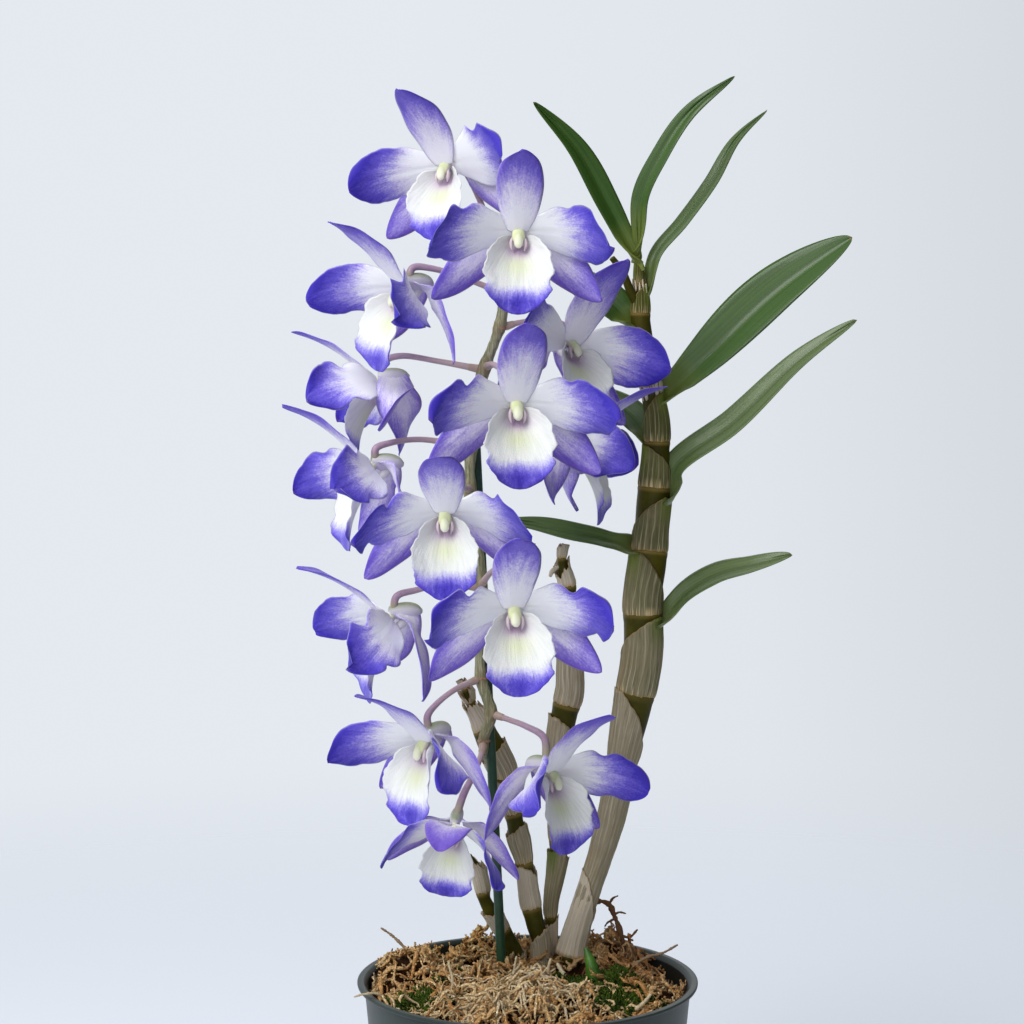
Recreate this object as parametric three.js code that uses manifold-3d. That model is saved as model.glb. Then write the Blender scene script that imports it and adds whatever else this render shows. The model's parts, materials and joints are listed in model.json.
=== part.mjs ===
// A Dendrobium orchid growing in its nursery pot.
// Millimetres, +Z up. The origin is the centre of the pot's flat base, and the blooms face -Y.
import * as THREE from "three";
import { mergeVertices } from "three/addons/utils/BufferGeometryUtils.js";
import Module from "manifold-3d";

const wasm = await Module();
wasm.setup();

// ---------------------------------------------------------------- driving dimensions

const GAP = 0.35; // clear space between two pieces that touch

const POT_HEIGHT = 105;
const POT_SIDES = 32;
const RIM_RADIUS = 62.5;
const RIM_THICKNESS = 1.4; // the rim is a flat lip, turned out
const RIM_ROUNDING = 0.4;
const WALL = 1.4;
const WALL_TOP_RADIUS = 60; // outside of the wall, under the rim
const BASE_RADIUS = 50;
const BASE_ROUNDING = 1.5;
const FLOOR = 2;
const DRAIN_HOLES = 8;
const DRAIN_RADIUS = 3.5;
const DRAIN_RING = 36;

const MIX_EDGE_HEIGHT = 100.5; // top of the potting mix where it meets the wall
const MIX_DOME = 8; // how much higher the mix stands in the middle
const MIX_BUMP = 1.4;
const MIX_RINGS = 8;
// Heaps of sphagnum on the dome, and a hollow before the canes: [x, y, height, spread].
const MIX_HEAPS = [
  [34, 28, 11, 10], [-45, 10, 10, 9], [-22, 24, 3, 10], [4, -38, 3.5, 16], [46, -8, 3, 9], [16, -1, -4, 8],
];
const HOLE_SLACK = 0.8; // the holes in the mix are this much wider than their stems, all round

const STAKE_RADIUS = 1.75;
const STAKE_FOOT = [-5, 4, 15];
const STAKE_TOP = [-19.2, 4, 308];

const STALK_RADIUS = 1.25;
const PETAL_HALF_WIDTH = 10.6;
const DORSAL_HALF_WIDTH = 8;
const LATERAL_HALF_WIDTH = 7.5;
const PETAL_THICKNESS = 0.9;
const LIP_HALF_WIDTH = 12.4;
const LIP_THICKNESS = 0.8;
const LEAF_THICKNESS = 1;

// Canes: each station is [x, y, z, radius]; bare stretches, with no sheath, are [low z, high z].
const SHEATH_STEP = 0.7;
const MAIN_CANE = {
  stations: [
    [14.5, 18.5, 88, 5.2], [16, 18, 108, 5.6], [19, 18, 120, 4.9], [23, 18, 133, 4.5],
    [27, 19, 145, 4.7], [32, 19, 163, 5.5], [35, 20, 179, 5.6], [37, 20, 190, 6.7],
    [40, 20, 205, 7.7], [43, 21, 223, 7.8], [43, 21, 242, 7.6], [45, 21, 257, 7.6],
    [46, 22, 268, 6.8], [47, 22, 280, 6.9], [48, 22, 295, 5.7], [48, 22, 309, 5],
    [46, 22, 320, 4.6], [42, 22, 345, 4.4], [42, 22, 355, 3.3], [41, 22, 366, 1.8],
    [41, 22, 372, 1],
  ],
  bare: [[203, 207], [231, 236], [279.5, 284], [295.5, 301], [318.5, 322], [341.5, 348]],
  sides: 7,
};
const MIDDLE_CANE = {
  stations: [
    [8, 25.5, 90, 2.6], [9, 25, 112, 2.7], [9, 25, 126, 2.9], [11, 25, 139, 3.8],
    [12, 25, 148, 4.2], [12, 25, 166, 4.5], [12, 24, 187, 5.1], [14, 24, 199, 5.6],
    [16, 24, 208, 5.5], [16, 24, 217, 5.1], [15, 24, 242, 4.1], [15, 24, 248, 3.6],
    [13, 24, 257, 2.2], [14, 24, 263, 1],
  ],
  bare: [[147, 150], [197, 202], [244, 249.5], [256, 258.5]],
  sides: 7,
};
const LEFT_CANE = {
  stations: [
    [4, 15, 92, 3.4], [5, 16, 113, 3.7], [3, 16, 121, 4.1], [1, 17, 130, 4.1],
    [-1, 17, 144, 3.6], [-3, 18, 152, 4.4], [-5, 18.5, 161, 3.8], [-7, 19, 169, 4.9],
    [-9, 19, 178, 5.6], [-11, 19, 183, 5.6], [-15, 19, 191, 5.2], [-18, 18.5, 198, 3.6],
    [-21, 18, 204, 2.4], [-23, 17, 209, 1.8], [-25, 17, 213, 0.8],
  ],
  bare: [[120, 126], [158, 161.5], [188, 194], [203, 207]],
  sides: 7,
};
const SHORT_CANE = {
  stations: [
    [-4.5, 16, 92, 3.4], [-4, 16, 108, 3.7], [-6, 16, 113, 3.7], [-9, 16, 118, 3.6],
    [-13, 15, 125, 3.4], [-16, 14, 131, 3], [-17, 14, 136, 3.1], [-19, 14, 143, 2.2],
    [-21, 13, 148, 0.8],
  ],
  bare: [[110, 118], [127, 133]],
  sides: 7,
};
const FLOWERING_CANE = {
  stations: [
    [-8, 9, 90, 1.5], [-10, 9, 108, 1.5], [-11, 9, 132, 1.5], [-12, 9, 157, 1.5],
    [-14, 8.5, 179, 1.5], [-18, 4, 191, 1.7], [-16.5, 0, 203, 2.1], [-17, -1, 216, 1.9],
    [-17, -1, 235, 1.9], [-17, -1, 250, 2.2], [-18, -1, 263, 1.9], [-20, -1, 275, 1.9],
    [-21, -1, 285, 2.2], [-21, -1, 292, 1.9], [-20.5, -1, 300, 2.2], [-19, -1, 311, 1.9],
    [-18, -1, 320, 2.2], [-15.5, -1, 329, 2.1], [-12, -1, 338, 1.8], [-10, -1, 344, 2],
    [-8, -1, 356, 1.8], [-7, -1, 361, 1.4], [-6.5, -1, 364, 0.7],
  ],
  bare: [],
  sides: 6,
};

// A dry stub where an old leaf shoot broke off, near the top of the main cane.
const MAIN_CANE_STUB = [[42, 22, 350], [38, 20, 357], [35, 18, 364], [31, 16, 369]];
const MIDDLE_CANE_STUB = [[13, 24, 255], [9.5, 23, 253], [8.5, 22, 251]];

// Leaves: spine points from the cane outwards, half width, and the way the upper side faces.
const LEAVES = [
  { spine: [[41, 22, 368], [29, 20, 389], [18, 16, 408], [2, 10, 425]], half: 4.9, faces: [0.3, -1, 0.3] },
  { spine: [[41, 21, 371], [42, 19, 391], [49, 16, 406], [59, 13, 421], [75, 8, 434]],
    half: 3.9, faces: [-0.5, -1, 0.3] },
  { spine: [[42, 22, 356], [48, 23, 370], [58, 25, 382], [69, 28, 397], [78, 32, 413], [90, 36, 425]],
    half: 4, faces: [-0.8, -0.75, 0.5] },
  { spine: [[48, 22, 316], [69, 18, 335], [91, 14, 356], [118, 8, 376]], half: 10, faces: [-0.35, -1, 0.5] },
  { spine: [[48, 22, 279], [55, 19, 291], [76, 12, 308], [99, 6, 331], [119, 2, 346]],
    half: 6.6, faces: [-0.5, -0.75, 0.6] },
  { spine: [[44, 21, 233], [58, 16, 244], [70, 11, 252], [82, 5, 256], [96, 0, 261]], half: 6.2,
    faces: [-0.2, -0.7, 0.8] },
  { spine: [[43, 21, 260], [28, 15, 265], [16, 11, 268], [3, 10, 271], [-10, 10, 273]], half: 4.4,
    faces: [0, -0.7, 0.6] },
  { spine: [[42, 22, 344], [31, 24, 352], [20, 28, 359], [4, 34, 368]], half: 7.5, faces: [0.2, -1, 0.6] },
  { spine: [[48, 24, 301], [40, 32, 309], [33, 38, 315], [24, 44, 321]], half: 6.5, faces: [0.2, -1, 0.6] },
];

// Blooms: place of the flower's heart, the way it faces (turn to its left or right and nod down, in
// degrees), its roll, its size, and the points its stalk runs through from the flowering cane.
const BLOOMS = [
  { at: [-29, -2, 405], turn: -24, nod: 28, roll: -7, size: 0.97,
    stalk: [[-7, -1, 359], [-12, 3, 375], [-20, 6, 395], [-27, 4, 406]] },
  { at: [-3.5, -30, 380], turn: 1, nod: 29, roll: 1, size: 1.02,
    stalk: [[-8, -1, 357], [-8, -10, 367], [-6, -20, 378], [-4, -28, 383]] },
  { at: [-43, -12, 361], turn: -58, nod: 33, roll: 8, size: 1.02,
    stalk: [[-8, -1, 355], [-18, -3, 359], [-34, -8, 364], [-41, -11, 364]] },
  { at: [-54, 8, 327], turn: -86, nod: 36, roll: -14, size: 0.97,
    stalk: [[-16, -1, 328], [-32, 0, 331], [-46, 4, 333], [-52, 8, 331]] },
  { at: [15, 5, 341], turn: 30, nod: 16, roll: 15, size: 1,
    stalk: [[-10, -1, 343], [-3, 2, 345], [6, 7, 346], [13, 7, 344]] },
  { at: [-4.5, -33.5, 321], turn: 8, nod: 27, roll: 1, size: 1.05,
    stalk: [[-15, -1, 329], [-13, -10, 330], [-9, -22, 328], [-5, -31.5, 325]] },
  { at: [17.5, 5, 305], turn: 76, nod: 34, roll: 7, size: 1,
    stalk: [[-18, -1, 320], [-5, 6, 322], [9, 9, 318], [16, 7, 310]] },
  { at: [-28.5, -51.5, 284], turn: 0, nod: 36, roll: -2, size: 0.98,
    stalk: [[-21, -1, 285], [-23, -14, 286], [-27, -34, 288], [-28.5, -49, 286]] },
  { at: [-5.5, -50, 251.5], turn: 8, nod: 28, roll: -2, size: 1.03,
    stalk: [[-17, -1, 250], [-13, -14, 256], [-8, -34, 259], [-6, -48, 255]] },
  { at: [-55, -15.5, 297], turn: -69, nod: 32, roll: -4, size: 1,
    stalk: [[-20.5, -1, 300], [-38, -6, 303], [-49, -13, 302], [-54, -16, 300]] },
  { at: [-49, -12, 243], turn: -76, nod: 37, roll: 7, size: 1.02,
    stalk: [[-17, -1, 249], [-30, -6, 251], [-40, -9, 249], [-47, -12, 247]] },
  { at: [-36, -15, 200], turn: -45, nod: 38, roll: 2, size: 1.01,
    stalk: [[-17, -1, 216], [-26, -8, 213], [-33, -12, 208], [-36, -14, 204]] },
  { at: [-26, -24, 169], turn: -17, nod: 53, roll: 12, size: 0.84,
    stalk: [[-17, 3, 193], [-17, -3, 189], [-19, -6, 183], [-23, -14, 177]] },
  { at: [7, -26, 190.5], turn: 41, nod: 30, roll: 4, size: 0.98,
    stalk: [[-16.5, 0, 203], [-7, -5, 203], [1, -12, 200], [5, -17, 196]] },
];

// Small growths on the potting mix.
const SHOOT = {
  stations: [[26.2, -7, 92, 2.2], [24.6, -5.8, 103, 2.5], [23.3, -4.8, 111, 2.2], [21.2, -3, 117, 0.8]],
  sides: 7,
};
const CURLED_ROOT = [
  [18.4, 28, 98], [20.2, 28, 114], [23, 27, 122], [27, 26, 127], [31, 25.5, 126], [33, 26, 121.5],
  [34.8, 26.6, 117], [38.8, 28, 101],
];
const CURLED_ROOT_RADIUS = 1.1;
const PALE_ROOT = [[16.5, -11, 94], [13.6, -7.3, 105.5], [12.6, -6, 108.5], [10.8, -3.8, 111.5]];
const PALE_ROOT_RADIUS = 1.2;
const MOSS = [
  { at: [-38, -26], radius: 11, rise: 3.4 },
  { at: [35, -26], radius: 11, rise: 3.2 },
  { at: [32, -4], radius: 8, rise: 3 },
];

// ---------------------------------------------------------------- materials

function finish(color, roughness, metalness = 0) {
  return new THREE.MeshStandardMaterial({ color, roughness, metalness });
}

const POT_GREEN = finish("#3c4c49", 0.45);
const MIX_TAN = finish("#a88458", 0.95);
const MOSS_GREEN = finish("#4e7420", 0.95);
const STAKE_GREEN = finish("#194b2d", 0.4);
const SHEATH_TAN = finish("#8c8462", 0.7);
const CANE_GREY_GREEN = finish("#82825f", 0.6);
const LEAF_GREEN = finish("#2c5c28", 0.45);
const SHOOT_GREEN = finish("#5c8a34", 0.5);
const ROOT_BROWN = finish("#7c5c3c", 0.85);
const PETAL_VIOLET = finish("#8478cc", 0.6);
const LIP_WHITE = finish("#e8ebec", 0.6);

// ---------------------------------------------------------------- solids from points and faces

const vector = (p) => new THREE.Vector3(...p);

// A closed body from its points and triangles, turned so that its faces point out.
function closedBody(points, faces) {
  let volume = 0;
  for (const [a, b, c] of faces) {
    volume += points[a].dot(points[b].clone().cross(points[c]));
  }
  const triangles = volume > 0 ? faces : faces.map(([a, b, c]) => [a, c, b]);
  return new wasm.Manifold(new wasm.Mesh({
    numProp: 3,
    vertProperties: new Float32Array(points.flatMap((p) => [p.x, p.y, p.z])),
    triVerts: new Uint32Array(triangles.flat()),
  }));
}

function bodyFromGeometry(geometry) {
  geometry.deleteAttribute("normal");
  geometry.deleteAttribute("uv");
  const merged = mergeVertices(geometry, 1e-4);
  return new wasm.Manifold(new wasm.Mesh({
    numProp: 3,
    vertProperties: new Float32Array(merged.attributes.position.array),
    triVerts: new Uint32Array(merged.index.array),
  }));
}

function joined(bodies) {
  return bodies.reduce((sum, body) => sum.add(body));
}

function largestPiece(body) {
  const pieces = body.decompose();
  return pieces.reduce((best, piece) => (piece.volume() > best.volume() ? piece : best));
}

function meshFrom(name, body, material) {
  const { vertProperties, triVerts } = body.getMesh();
  const geometry = new THREE.BufferGeometry();
  geometry.setAttribute("position", new THREE.BufferAttribute(new Float32Array(vertProperties), 3));
  geometry.setIndex(new THREE.BufferAttribute(new Uint32Array(triVerts), 1));
  geometry.computeVertexNormals();
  const mesh = new THREE.Mesh(geometry, material);
  mesh.name = name;
  return mesh;
}

// ---------------------------------------------------------------- rods along a curve

// A round rod along a curve. `stops` are its rings, from 0 to 1, and `radiusAt` gives their radii.
function rod(curve, stops, radiusAt, sides) {
  const points = [curve.getPoint(stops[0])];
  const faces = [];
  let ahead = curve.getTangent(stops[0]);
  let across = new THREE.Vector3(0, 1, 0).cross(ahead);
  if (across.length() < 0.2) across = new THREE.Vector3(1, 0, 0).cross(ahead);
  across.normalize();
  for (const stop of stops) {
    const centre = curve.getPoint(stop);
    const next = curve.getTangent(stop);
    across.applyQuaternion(new THREE.Quaternion().setFromUnitVectors(ahead, next));
    ahead = next;
    const beside = ahead.clone().cross(across);
    for (let side = 0; side < sides; side += 1) {
      const angle = (2 * Math.PI * side) / sides;
      const radius = radiusAt(stop);
      points.push(centre.clone()
        .addScaledVector(across, radius * Math.cos(angle))
        .addScaledVector(beside, radius * Math.sin(angle)));
    }
  }
  const last = points.length;
  points.push(curve.getPoint(stops.at(-1)));
  for (let side = 0; side < sides; side += 1) {
    const next = (side + 1) % sides;
    faces.push([0, 1 + next, 1 + side]);
    faces.push([last, last - sides + side, last - sides + next]);
    for (let ring = 0; ring < stops.length - 1; ring += 1) {
      const low = 1 + ring * sides;
      const high = low + sides;
      faces.push([low + side, low + next, high + next]);
      faces.push([low + side, high + next, high + side]);
    }
  }
  return closedBody(points, faces);
}

function smoothCurve(points) {
  return new THREE.CatmullRomCurve3(points.map((p) => vector(p.slice(0, 3))), false, "centripetal");
}

function evenStops(count) {
  return Array.from({ length: count + 1 }, (_, i) => i / count);
}

// The place along a rising curve where it reaches height z.
function stopAtHeight(curve, z) {
  let low = 0;
  let high = 1;
  for (let step = 0; step < 30; step += 1) {
    const middle = (low + high) / 2;
    if (curve.getPoint(middle).z < z) low = middle;
    else high = middle;
  }
  return (low + high) / 2;
}

// A jointed cane. Its sheaths stand a step proud of its bare stretches. `extra` swells it all over.
function cane({ stations, bare = [], sides = 8 }, extra = 0) {
  const curve = smoothCurve(stations);
  const spans = stations.length - 1;
  const edges = bare.flat().map((z) => stopAtHeight(curve, z));
  const half = 0.008; // half the length of the slope at a sheath's edge
  const isBare = (stop) => edges.some((low, i) => i % 2 === 0 && stop > low && stop < edges[i + 1]);
  const radiusAt = (stop) => {
    const place = Math.min(stop * spans, spans - 1e-6);
    const i = Math.floor(place);
    const radius = THREE.MathUtils.lerp(stations[i][3], stations[i + 1][3], place - i);
    return radius + extra - (isBare(stop) && extra === 0 ? SHEATH_STEP : 0);
  };
  const rings = evenStops(spans);
  const clearOfEdges = rings.filter((ring) => edges.every((edge) => Math.abs(ring - edge) > 1.5 * half));
  const stops = [...clearOfEdges, ...edges.flatMap((edge) => [edge - half, edge + half])];
  return rod(curve, stops.sort((a, b) => a - b), radiusAt, sides);
}

// A short upright plug, for the clear space round the end of a stem.
function plug([x, y, z], radius) {
  const cylinder = new THREE.CylinderGeometry(radius, radius, 4, 10).rotateX(Math.PI / 2);
  return bodyFromGeometry(cylinder.translate(x, y, z));
}

// The plain straight hole that a stem stands in. It runs on a little past the stem's foot.
function hole(foot, neck, radius) {
  const start = vector(foot.slice(0, 3));
  const ahead = vector(neck.slice(0, 3)).sub(start).normalize();
  const line = new THREE.LineCurve3(start.clone().addScaledVector(ahead, -2.2),
    start.clone().addScaledVector(ahead, Math.max(26, 115 - start.z)));
  return rod(line, [0, 1], () => radius + HOLE_SLACK, 10);
}

// The space that other pieces keep clear round a cane.
function clearance(shape) {
  const ends = [shape.stations[0], shape.stations.at(-1)];
  return joined([cane(shape, GAP), ...ends.map((end) => plug(end, end[3] + GAP))]);
}

function twig(points, radius, tipRadius, sides = 6) {
  const radiusAt = (stop) => THREE.MathUtils.lerp(radius, tipRadius, stop ** 3);
  return rod(smoothCurve(points), evenStops(2 * (points.length - 1)), radiusAt, sides);
}

// ---------------------------------------------------------------- blades: petals, sepals, lips, leaves

// A thin closed blade over surface(s, t): s runs from root to tip, and t from edge to edge, -1 to 1.
// Its two faces are split alike, and meet at the edges and at both ends.
function blade(surface, rows, columns, thickness) {
  const step = 1e-3;
  const normalAt = (s, t) => {
    const along = surface(s + step, t).sub(surface(s - step, t));
    const across = surface(s, t + step).sub(surface(s, t - step));
    return along.cross(across).normalize();
  };
  const points = [surface(0, 0), surface(1, 0)];
  const faces = [];
  const front = [];
  const back = [];
  for (let row = 1; row < rows; row += 1) {
    const even = row / rows;
    const s = 0.5 * even + 0.25 * (1 - Math.cos(Math.PI * even)); // rows crowd a little at the ends
    front.push([]);
    back.push([]);
    for (let column = 0; column <= columns; column += 1) {
      const t = (2 * column) / columns - 1;
      const middle = surface(s, t);
      const depth = Math.abs(t) === 1 ? 0 : thickness / 2;
      const normal = normalAt(s, t);
      front.at(-1).push(points.push(middle.clone().addScaledVector(normal, depth)) - 1);
      back.at(-1).push(depth === 0
        ? front.at(-1).at(-1)
        : points.push(middle.clone().addScaledVector(normal, -depth)) - 1);
    }
  }
  const cover = (grid, flip) => {
    const add = (a, b, c) => faces.push(flip ? [a, c, b] : [a, b, c]);
    for (let column = 0; column < columns; column += 1) {
      add(0, grid[0][column + 1], grid[0][column]);
      add(1, grid.at(-1)[column], grid.at(-1)[column + 1]);
      for (let row = 0; row < grid.length - 1; row += 1) {
        const [a, b] = [grid[row][column], grid[row][column + 1]];
        const [c, d] = [grid[row + 1][column], grid[row + 1][column + 1]];
        add(a, b, d);
        add(a, d, c);
      }
    }
  };
  cover(front, false);
  cover(back, true);
  return closedBody(points, faces);
}

// A strip's surface: it follows `spine`, lies square to `facing`, and profile(s, t) gives how far each
// point stands across the spine and out of the strip's plane. A strip may face another way at its root,
// up to `settled`.
function strip(spine, facing, profile, rootFacing = facing, settled = 0.2) {
  return (s, t) => {
    const stop = THREE.MathUtils.clamp(s, 0, 1);
    const ahead = spine.getTangent(stop);
    const across = rootFacing.clone().lerp(facing, Math.min(1, stop / settled)).cross(ahead).normalize();
    const out = ahead.clone().cross(across);
    const [aside, lift] = profile(s, t);
    return spine.getPoint(stop)
      .addScaledVector(ahead, (s - stop) * spine.getLength())
      .addScaledVector(across, aside)
      .addScaledVector(out, lift);
  };
}

// ---------------------------------------------------------------- blooms

// Inside a bloom x is to the right, y to the top sepal and z out of the face.
const FACE = new THREE.Vector3(0, 0, 1);
const PETAL_ROWS = 7;
const SEPAL_ROWS = 6;
const LIP_ROWS = 7;
const LEAF_ROWS = 12;

function arch(...points) {
  return new THREE.CubicBezierCurve3(...points.map(vector));
}

// Half width of a petal or sepal: it grows to `half` where s to the power `peak` is a half.
function outline(s, half, peak, round) {
  const along = THREE.MathUtils.clamp(s, 0, 1) ** peak;
  return half * Math.sin(Math.PI * along) ** round;
}

function petalSurface(side, wave) {
  const spine = arch(
    [0.6 * side, -3, 2.4], [13 * side, -2.5, 4.5], [24 * side, 1, 13], [30 * side, 1.5, 25]);
  return strip(spine, FACE, (s, t) => {
    const half = outline(0.08 + 0.92 * s, PETAL_HALF_WIDTH, 1.4, 0.66);
    const ruffle = 1.5 * s * Math.abs(t) ** 3 * Math.sin(9 * s + wave + 2 * Math.sign(t));
    return [half * t, ruffle - 0.12 * half * t * t];
  });
}

function dorsalSurface(wave) {
  const spine = arch([0, -2.4, 4.2], [0, 9, 3.6], [0, 24, 8], [0, 33, 18]);
  return strip(spine, FACE, (s, t) => {
    const half = outline(0.1 + 0.9 * s, DORSAL_HALF_WIDTH, 0.98, 0.6);
    return [half * t, 0.18 * half * (1 - Math.abs(t)) + 0.5 * t * Math.sin(5 * s + wave)];
  });
}

// The lower sepals are broad at their roots, where they wrap the chin.
function lateralSurface(side, wave) {
  const spine = arch(
    [1.5 * side, -4, -3.4], [11 * side, -12, -1.4], [21 * side, -20, 4], [29 * side, -24, 13]);
  const rootFacing = new THREE.Vector3(-0.8 * side, -0.5, 0.55);
  return strip(spine, FACE, (s, t) => {
    const half = outline(0.3 + 0.7 * s, LATERAL_HALF_WIDTH, 1.15, 0.75);
    return [half * t, 0.18 * half * (1 - Math.abs(t)) + 0.5 * t * Math.sin(5 * s + wave)];
  }, rootFacing);
}

// The lip is rolled round the column at its root and opens to a shallow frilled scoop.
function lipSurface(wave) {
  const spine = arch([0, -7.2, 1.5], [0, -9.5, 11], [0, -14, 20], [0, -22, 27]);
  return strip(spine, new THREE.Vector3(0, 1, 0.5), (s, t) => {
    const roll = 0.45 + 1.5 * (1 - THREE.MathUtils.clamp(s, 0, 1)) ** 3;
    const radius = outline(s, LIP_HALF_WIDTH, 1.1, 0.54) / Math.sin(roll);
    const frill = 0.7 * s * t ** 4 * Math.sin(16 * s + wave);
    return [radius * Math.sin(roll * t), radius * (1 - Math.cos(roll * t)) + frill];
  });
}

function bloomFrame({ at, turn, nod, roll, size }) {
  const [a, e, w] = [turn, -nod, roll].map(THREE.MathUtils.degToRad);
  const face = new THREE.Vector3(Math.sin(a) * Math.cos(e), -Math.cos(a) * Math.cos(e), Math.sin(e));
  const upright = new THREE.Vector3(0, 0, 1).addScaledVector(face, -face.z).normalize();
  const level = upright.clone().cross(face);
  const top = upright.multiplyScalar(Math.cos(w)).addScaledVector(level, Math.sin(w));
  const right = top.clone().cross(face);
  const frame = new THREE.Matrix4().makeBasis(right, top, face);
  frame.scale(new THREE.Vector3(size, size, size));
  frame.setPosition(...at);
  return frame;
}

function placed(surface, frame) {
  return (s, t) => surface(s, t).applyMatrix4(frame);
}

function placedRod(points, radii, frame, size, sides) {
  const curve = smoothCurve(points.map((p) => vector(p).applyMatrix4(frame).toArray()));
  const spans = radii.length - 1;
  const radiusAt = (stop) => {
    const i = Math.min(Math.floor(stop * spans), spans - 1);
    return size * THREE.MathUtils.lerp(radii[i], radii[i + 1], stop * spans - i);
  };
  return rod(curve, evenStops(spans), radiusAt, sides);
}

// Sepals, petals, column, chin and stalk, grown together. The stalk stops short of its cane.
function bloom(flower, index, caneSpace) {
  const frame = bloomFrame(flower);
  const wave = 2.4 * index;
  const petals = [-1, 1].map((side) => blade(
    placed(petalSurface(side, wave + side), frame), PETAL_ROWS, 4, PETAL_THICKNESS));
  const laterals = [-1, 1].map((side) => blade(
    placed(lateralSurface(side, wave + side), frame), SEPAL_ROWS, 2, PETAL_THICKNESS));
  const dorsal = blade(placed(dorsalSurface(wave), frame), SEPAL_ROWS, 2, PETAL_THICKNESS);
  const column = placedRod([[0, -2, 0], [0, -2.8, 2], [0, -3.5, 5.6], [0, -4.2, 8.4], [0, -4.8, 10.4]],
    [1.8, 2.2, 2.5, 2.8, 1.2], frame, flower.size, 6);
  const chin = placedRod([[0, -1, 1.2], [0, -3.2, -1.8], [0, -5.6, -4.9], [0, -8.2, -8]],
    [2.2, 2.6, 2.6, 1.1], frame, flower.size, 5);
  const route = smoothCurve([...flower.stalk, new THREE.Vector3(0, -1.5, 0).applyMatrix4(frame).toArray()]);
  const stalk = rod(route, evenStops(6), (stop) => STALK_RADIUS * (0.9 + 0.35 * stop), 5);
  return largestPiece(joined([column, chin, ...petals, ...laterals, dorsal, stalk]).subtract(caneSpace));
}

function lip(flower, index) {
  return blade(placed(lipSurface(1.7 * index), bloomFrame(flower)), LIP_ROWS, 6, LIP_THICKNESS);
}

// ---------------------------------------------------------------- leaves

function leaf({ spine, half, faces }, caneSpace) {
  const surface = strip(smoothCurve(spine), vector(faces), (s, t) => {
    const width = outline(s, half, 0.8, 0.7);
    return [width * t, 0.3 * width * Math.abs(t)];
  });
  return largestPiece(blade(surface, LEAF_ROWS, 2, LEAF_THICKNESS).subtract(caneSpace));
}

// ---------------------------------------------------------------- pot and potting mix

// A closed body of revolution about Z, from its profile of [radius, z] points.
function turned(profile, sides = POT_SIDES) {
  const outline2d = profile.map(([radius, z]) => new THREE.Vector2(radius, z));
  return bodyFromGeometry(new THREE.LatheGeometry(outline2d, sides).rotateX(Math.PI / 2));
}

// Radius of the wall's outside at height z.
function wallRadius(z) {
  return THREE.MathUtils.lerp(BASE_RADIUS, WALL_TOP_RADIUS, z / POT_HEIGHT);
}

function pot() {
  const top = POT_HEIGHT;
  const shell = turned([
    [0, 0],
    [BASE_RADIUS - BASE_ROUNDING, 0],
    [BASE_RADIUS, BASE_ROUNDING],
    [wallRadius(top - RIM_THICKNESS), top - RIM_THICKNESS],
    [RIM_RADIUS - RIM_ROUNDING, top - RIM_THICKNESS],
    [RIM_RADIUS, top - RIM_THICKNESS + RIM_ROUNDING],
    [RIM_RADIUS, top - RIM_ROUNDING],
    [RIM_RADIUS - RIM_ROUNDING, top],
    [wallRadius(top) - WALL, top],
    [wallRadius(FLOOR) - WALL - 1, FLOOR],
    [0, FLOOR],
  ]);
  const drains = Array.from({ length: DRAIN_HOLES }, (_, i) => {
    const angle = (2 * Math.PI * (i + 0.5)) / DRAIN_HOLES;
    const hole = new THREE.CylinderGeometry(DRAIN_RADIUS, DRAIN_RADIUS, 3 * FLOOR, 10).rotateX(Math.PI / 2);
    hole.translate(DRAIN_RING * Math.cos(angle), DRAIN_RING * Math.sin(angle), FLOOR / 2);
    return bodyFromGeometry(hole);
  });
  return shell.subtract(joined(drains));
}

// Height of the potting mix: a low dome with lumps and heaps.
function mixHeight(x, y) {
  const radius = Math.hypot(x, y);
  const lumps = Math.sin(0.31 * x + 1) * Math.sin(0.27 * y + 0.15 * x)
    + 0.6 * Math.sin(0.55 * y - 0.21 * x) * Math.cos(0.47 * x + 0.2 * y);
  const heaps = MIX_HEAPS.reduce((sum, [hx, hy, height, spread]) => (
    sum + height * Math.exp(-(((x - hx) ** 2 + (y - hy) ** 2) / (2 * spread ** 2)))), 0);
  return MIX_EDGE_HEIGHT + MIX_DOME * (1 - (radius / 60) ** 2) + MIX_BUMP * lumps + heaps;
}

// The mix fills the pot up to its dome. `raise` lifts its top.
function mixBody(raise = 0) {
  const rings = MIX_RINGS;
  const floorRadius = wallRadius(FLOOR) - WALL - 1 - GAP;
  const topRadius = wallRadius(MIX_EDGE_HEIGHT) - WALL - 0.6 - GAP;
  const points = [new THREE.Vector3(0, 0, mixHeight(0, 0) + raise), new THREE.Vector3(0, 0, FLOOR + GAP)];
  const faces = [];
  const at = (ring, side) => 2 + ring * POT_SIDES + (side % POT_SIDES);
  for (let ring = 1; ring <= rings + 1; ring += 1) {
    const onFloor = ring > rings;
    const radius = onFloor ? floorRadius : (topRadius * ring) / rings;
    for (let side = 0; side < POT_SIDES; side += 1) {
      const angle = (2 * Math.PI * side) / POT_SIDES;
      const [x, y] = [radius * Math.cos(angle), radius * Math.sin(angle)];
      points.push(new THREE.Vector3(x, y, onFloor ? FLOOR + GAP : mixHeight(x, y) + raise));
    }
  }
  for (let side = 0; side < POT_SIDES; side += 1) {
    faces.push([0, at(0, side), at(0, side + 1)]);
    faces.push([1, at(rings, side + 1), at(rings, side)]);
    for (let ring = 0; ring < rings; ring += 1) {
      faces.push([at(ring, side), at(ring + 1, side), at(ring + 1, side + 1)]);
      faces.push([at(ring, side), at(ring + 1, side + 1), at(ring, side + 1)]);
    }
  }
  return closedBody(points, faces);
}

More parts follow.
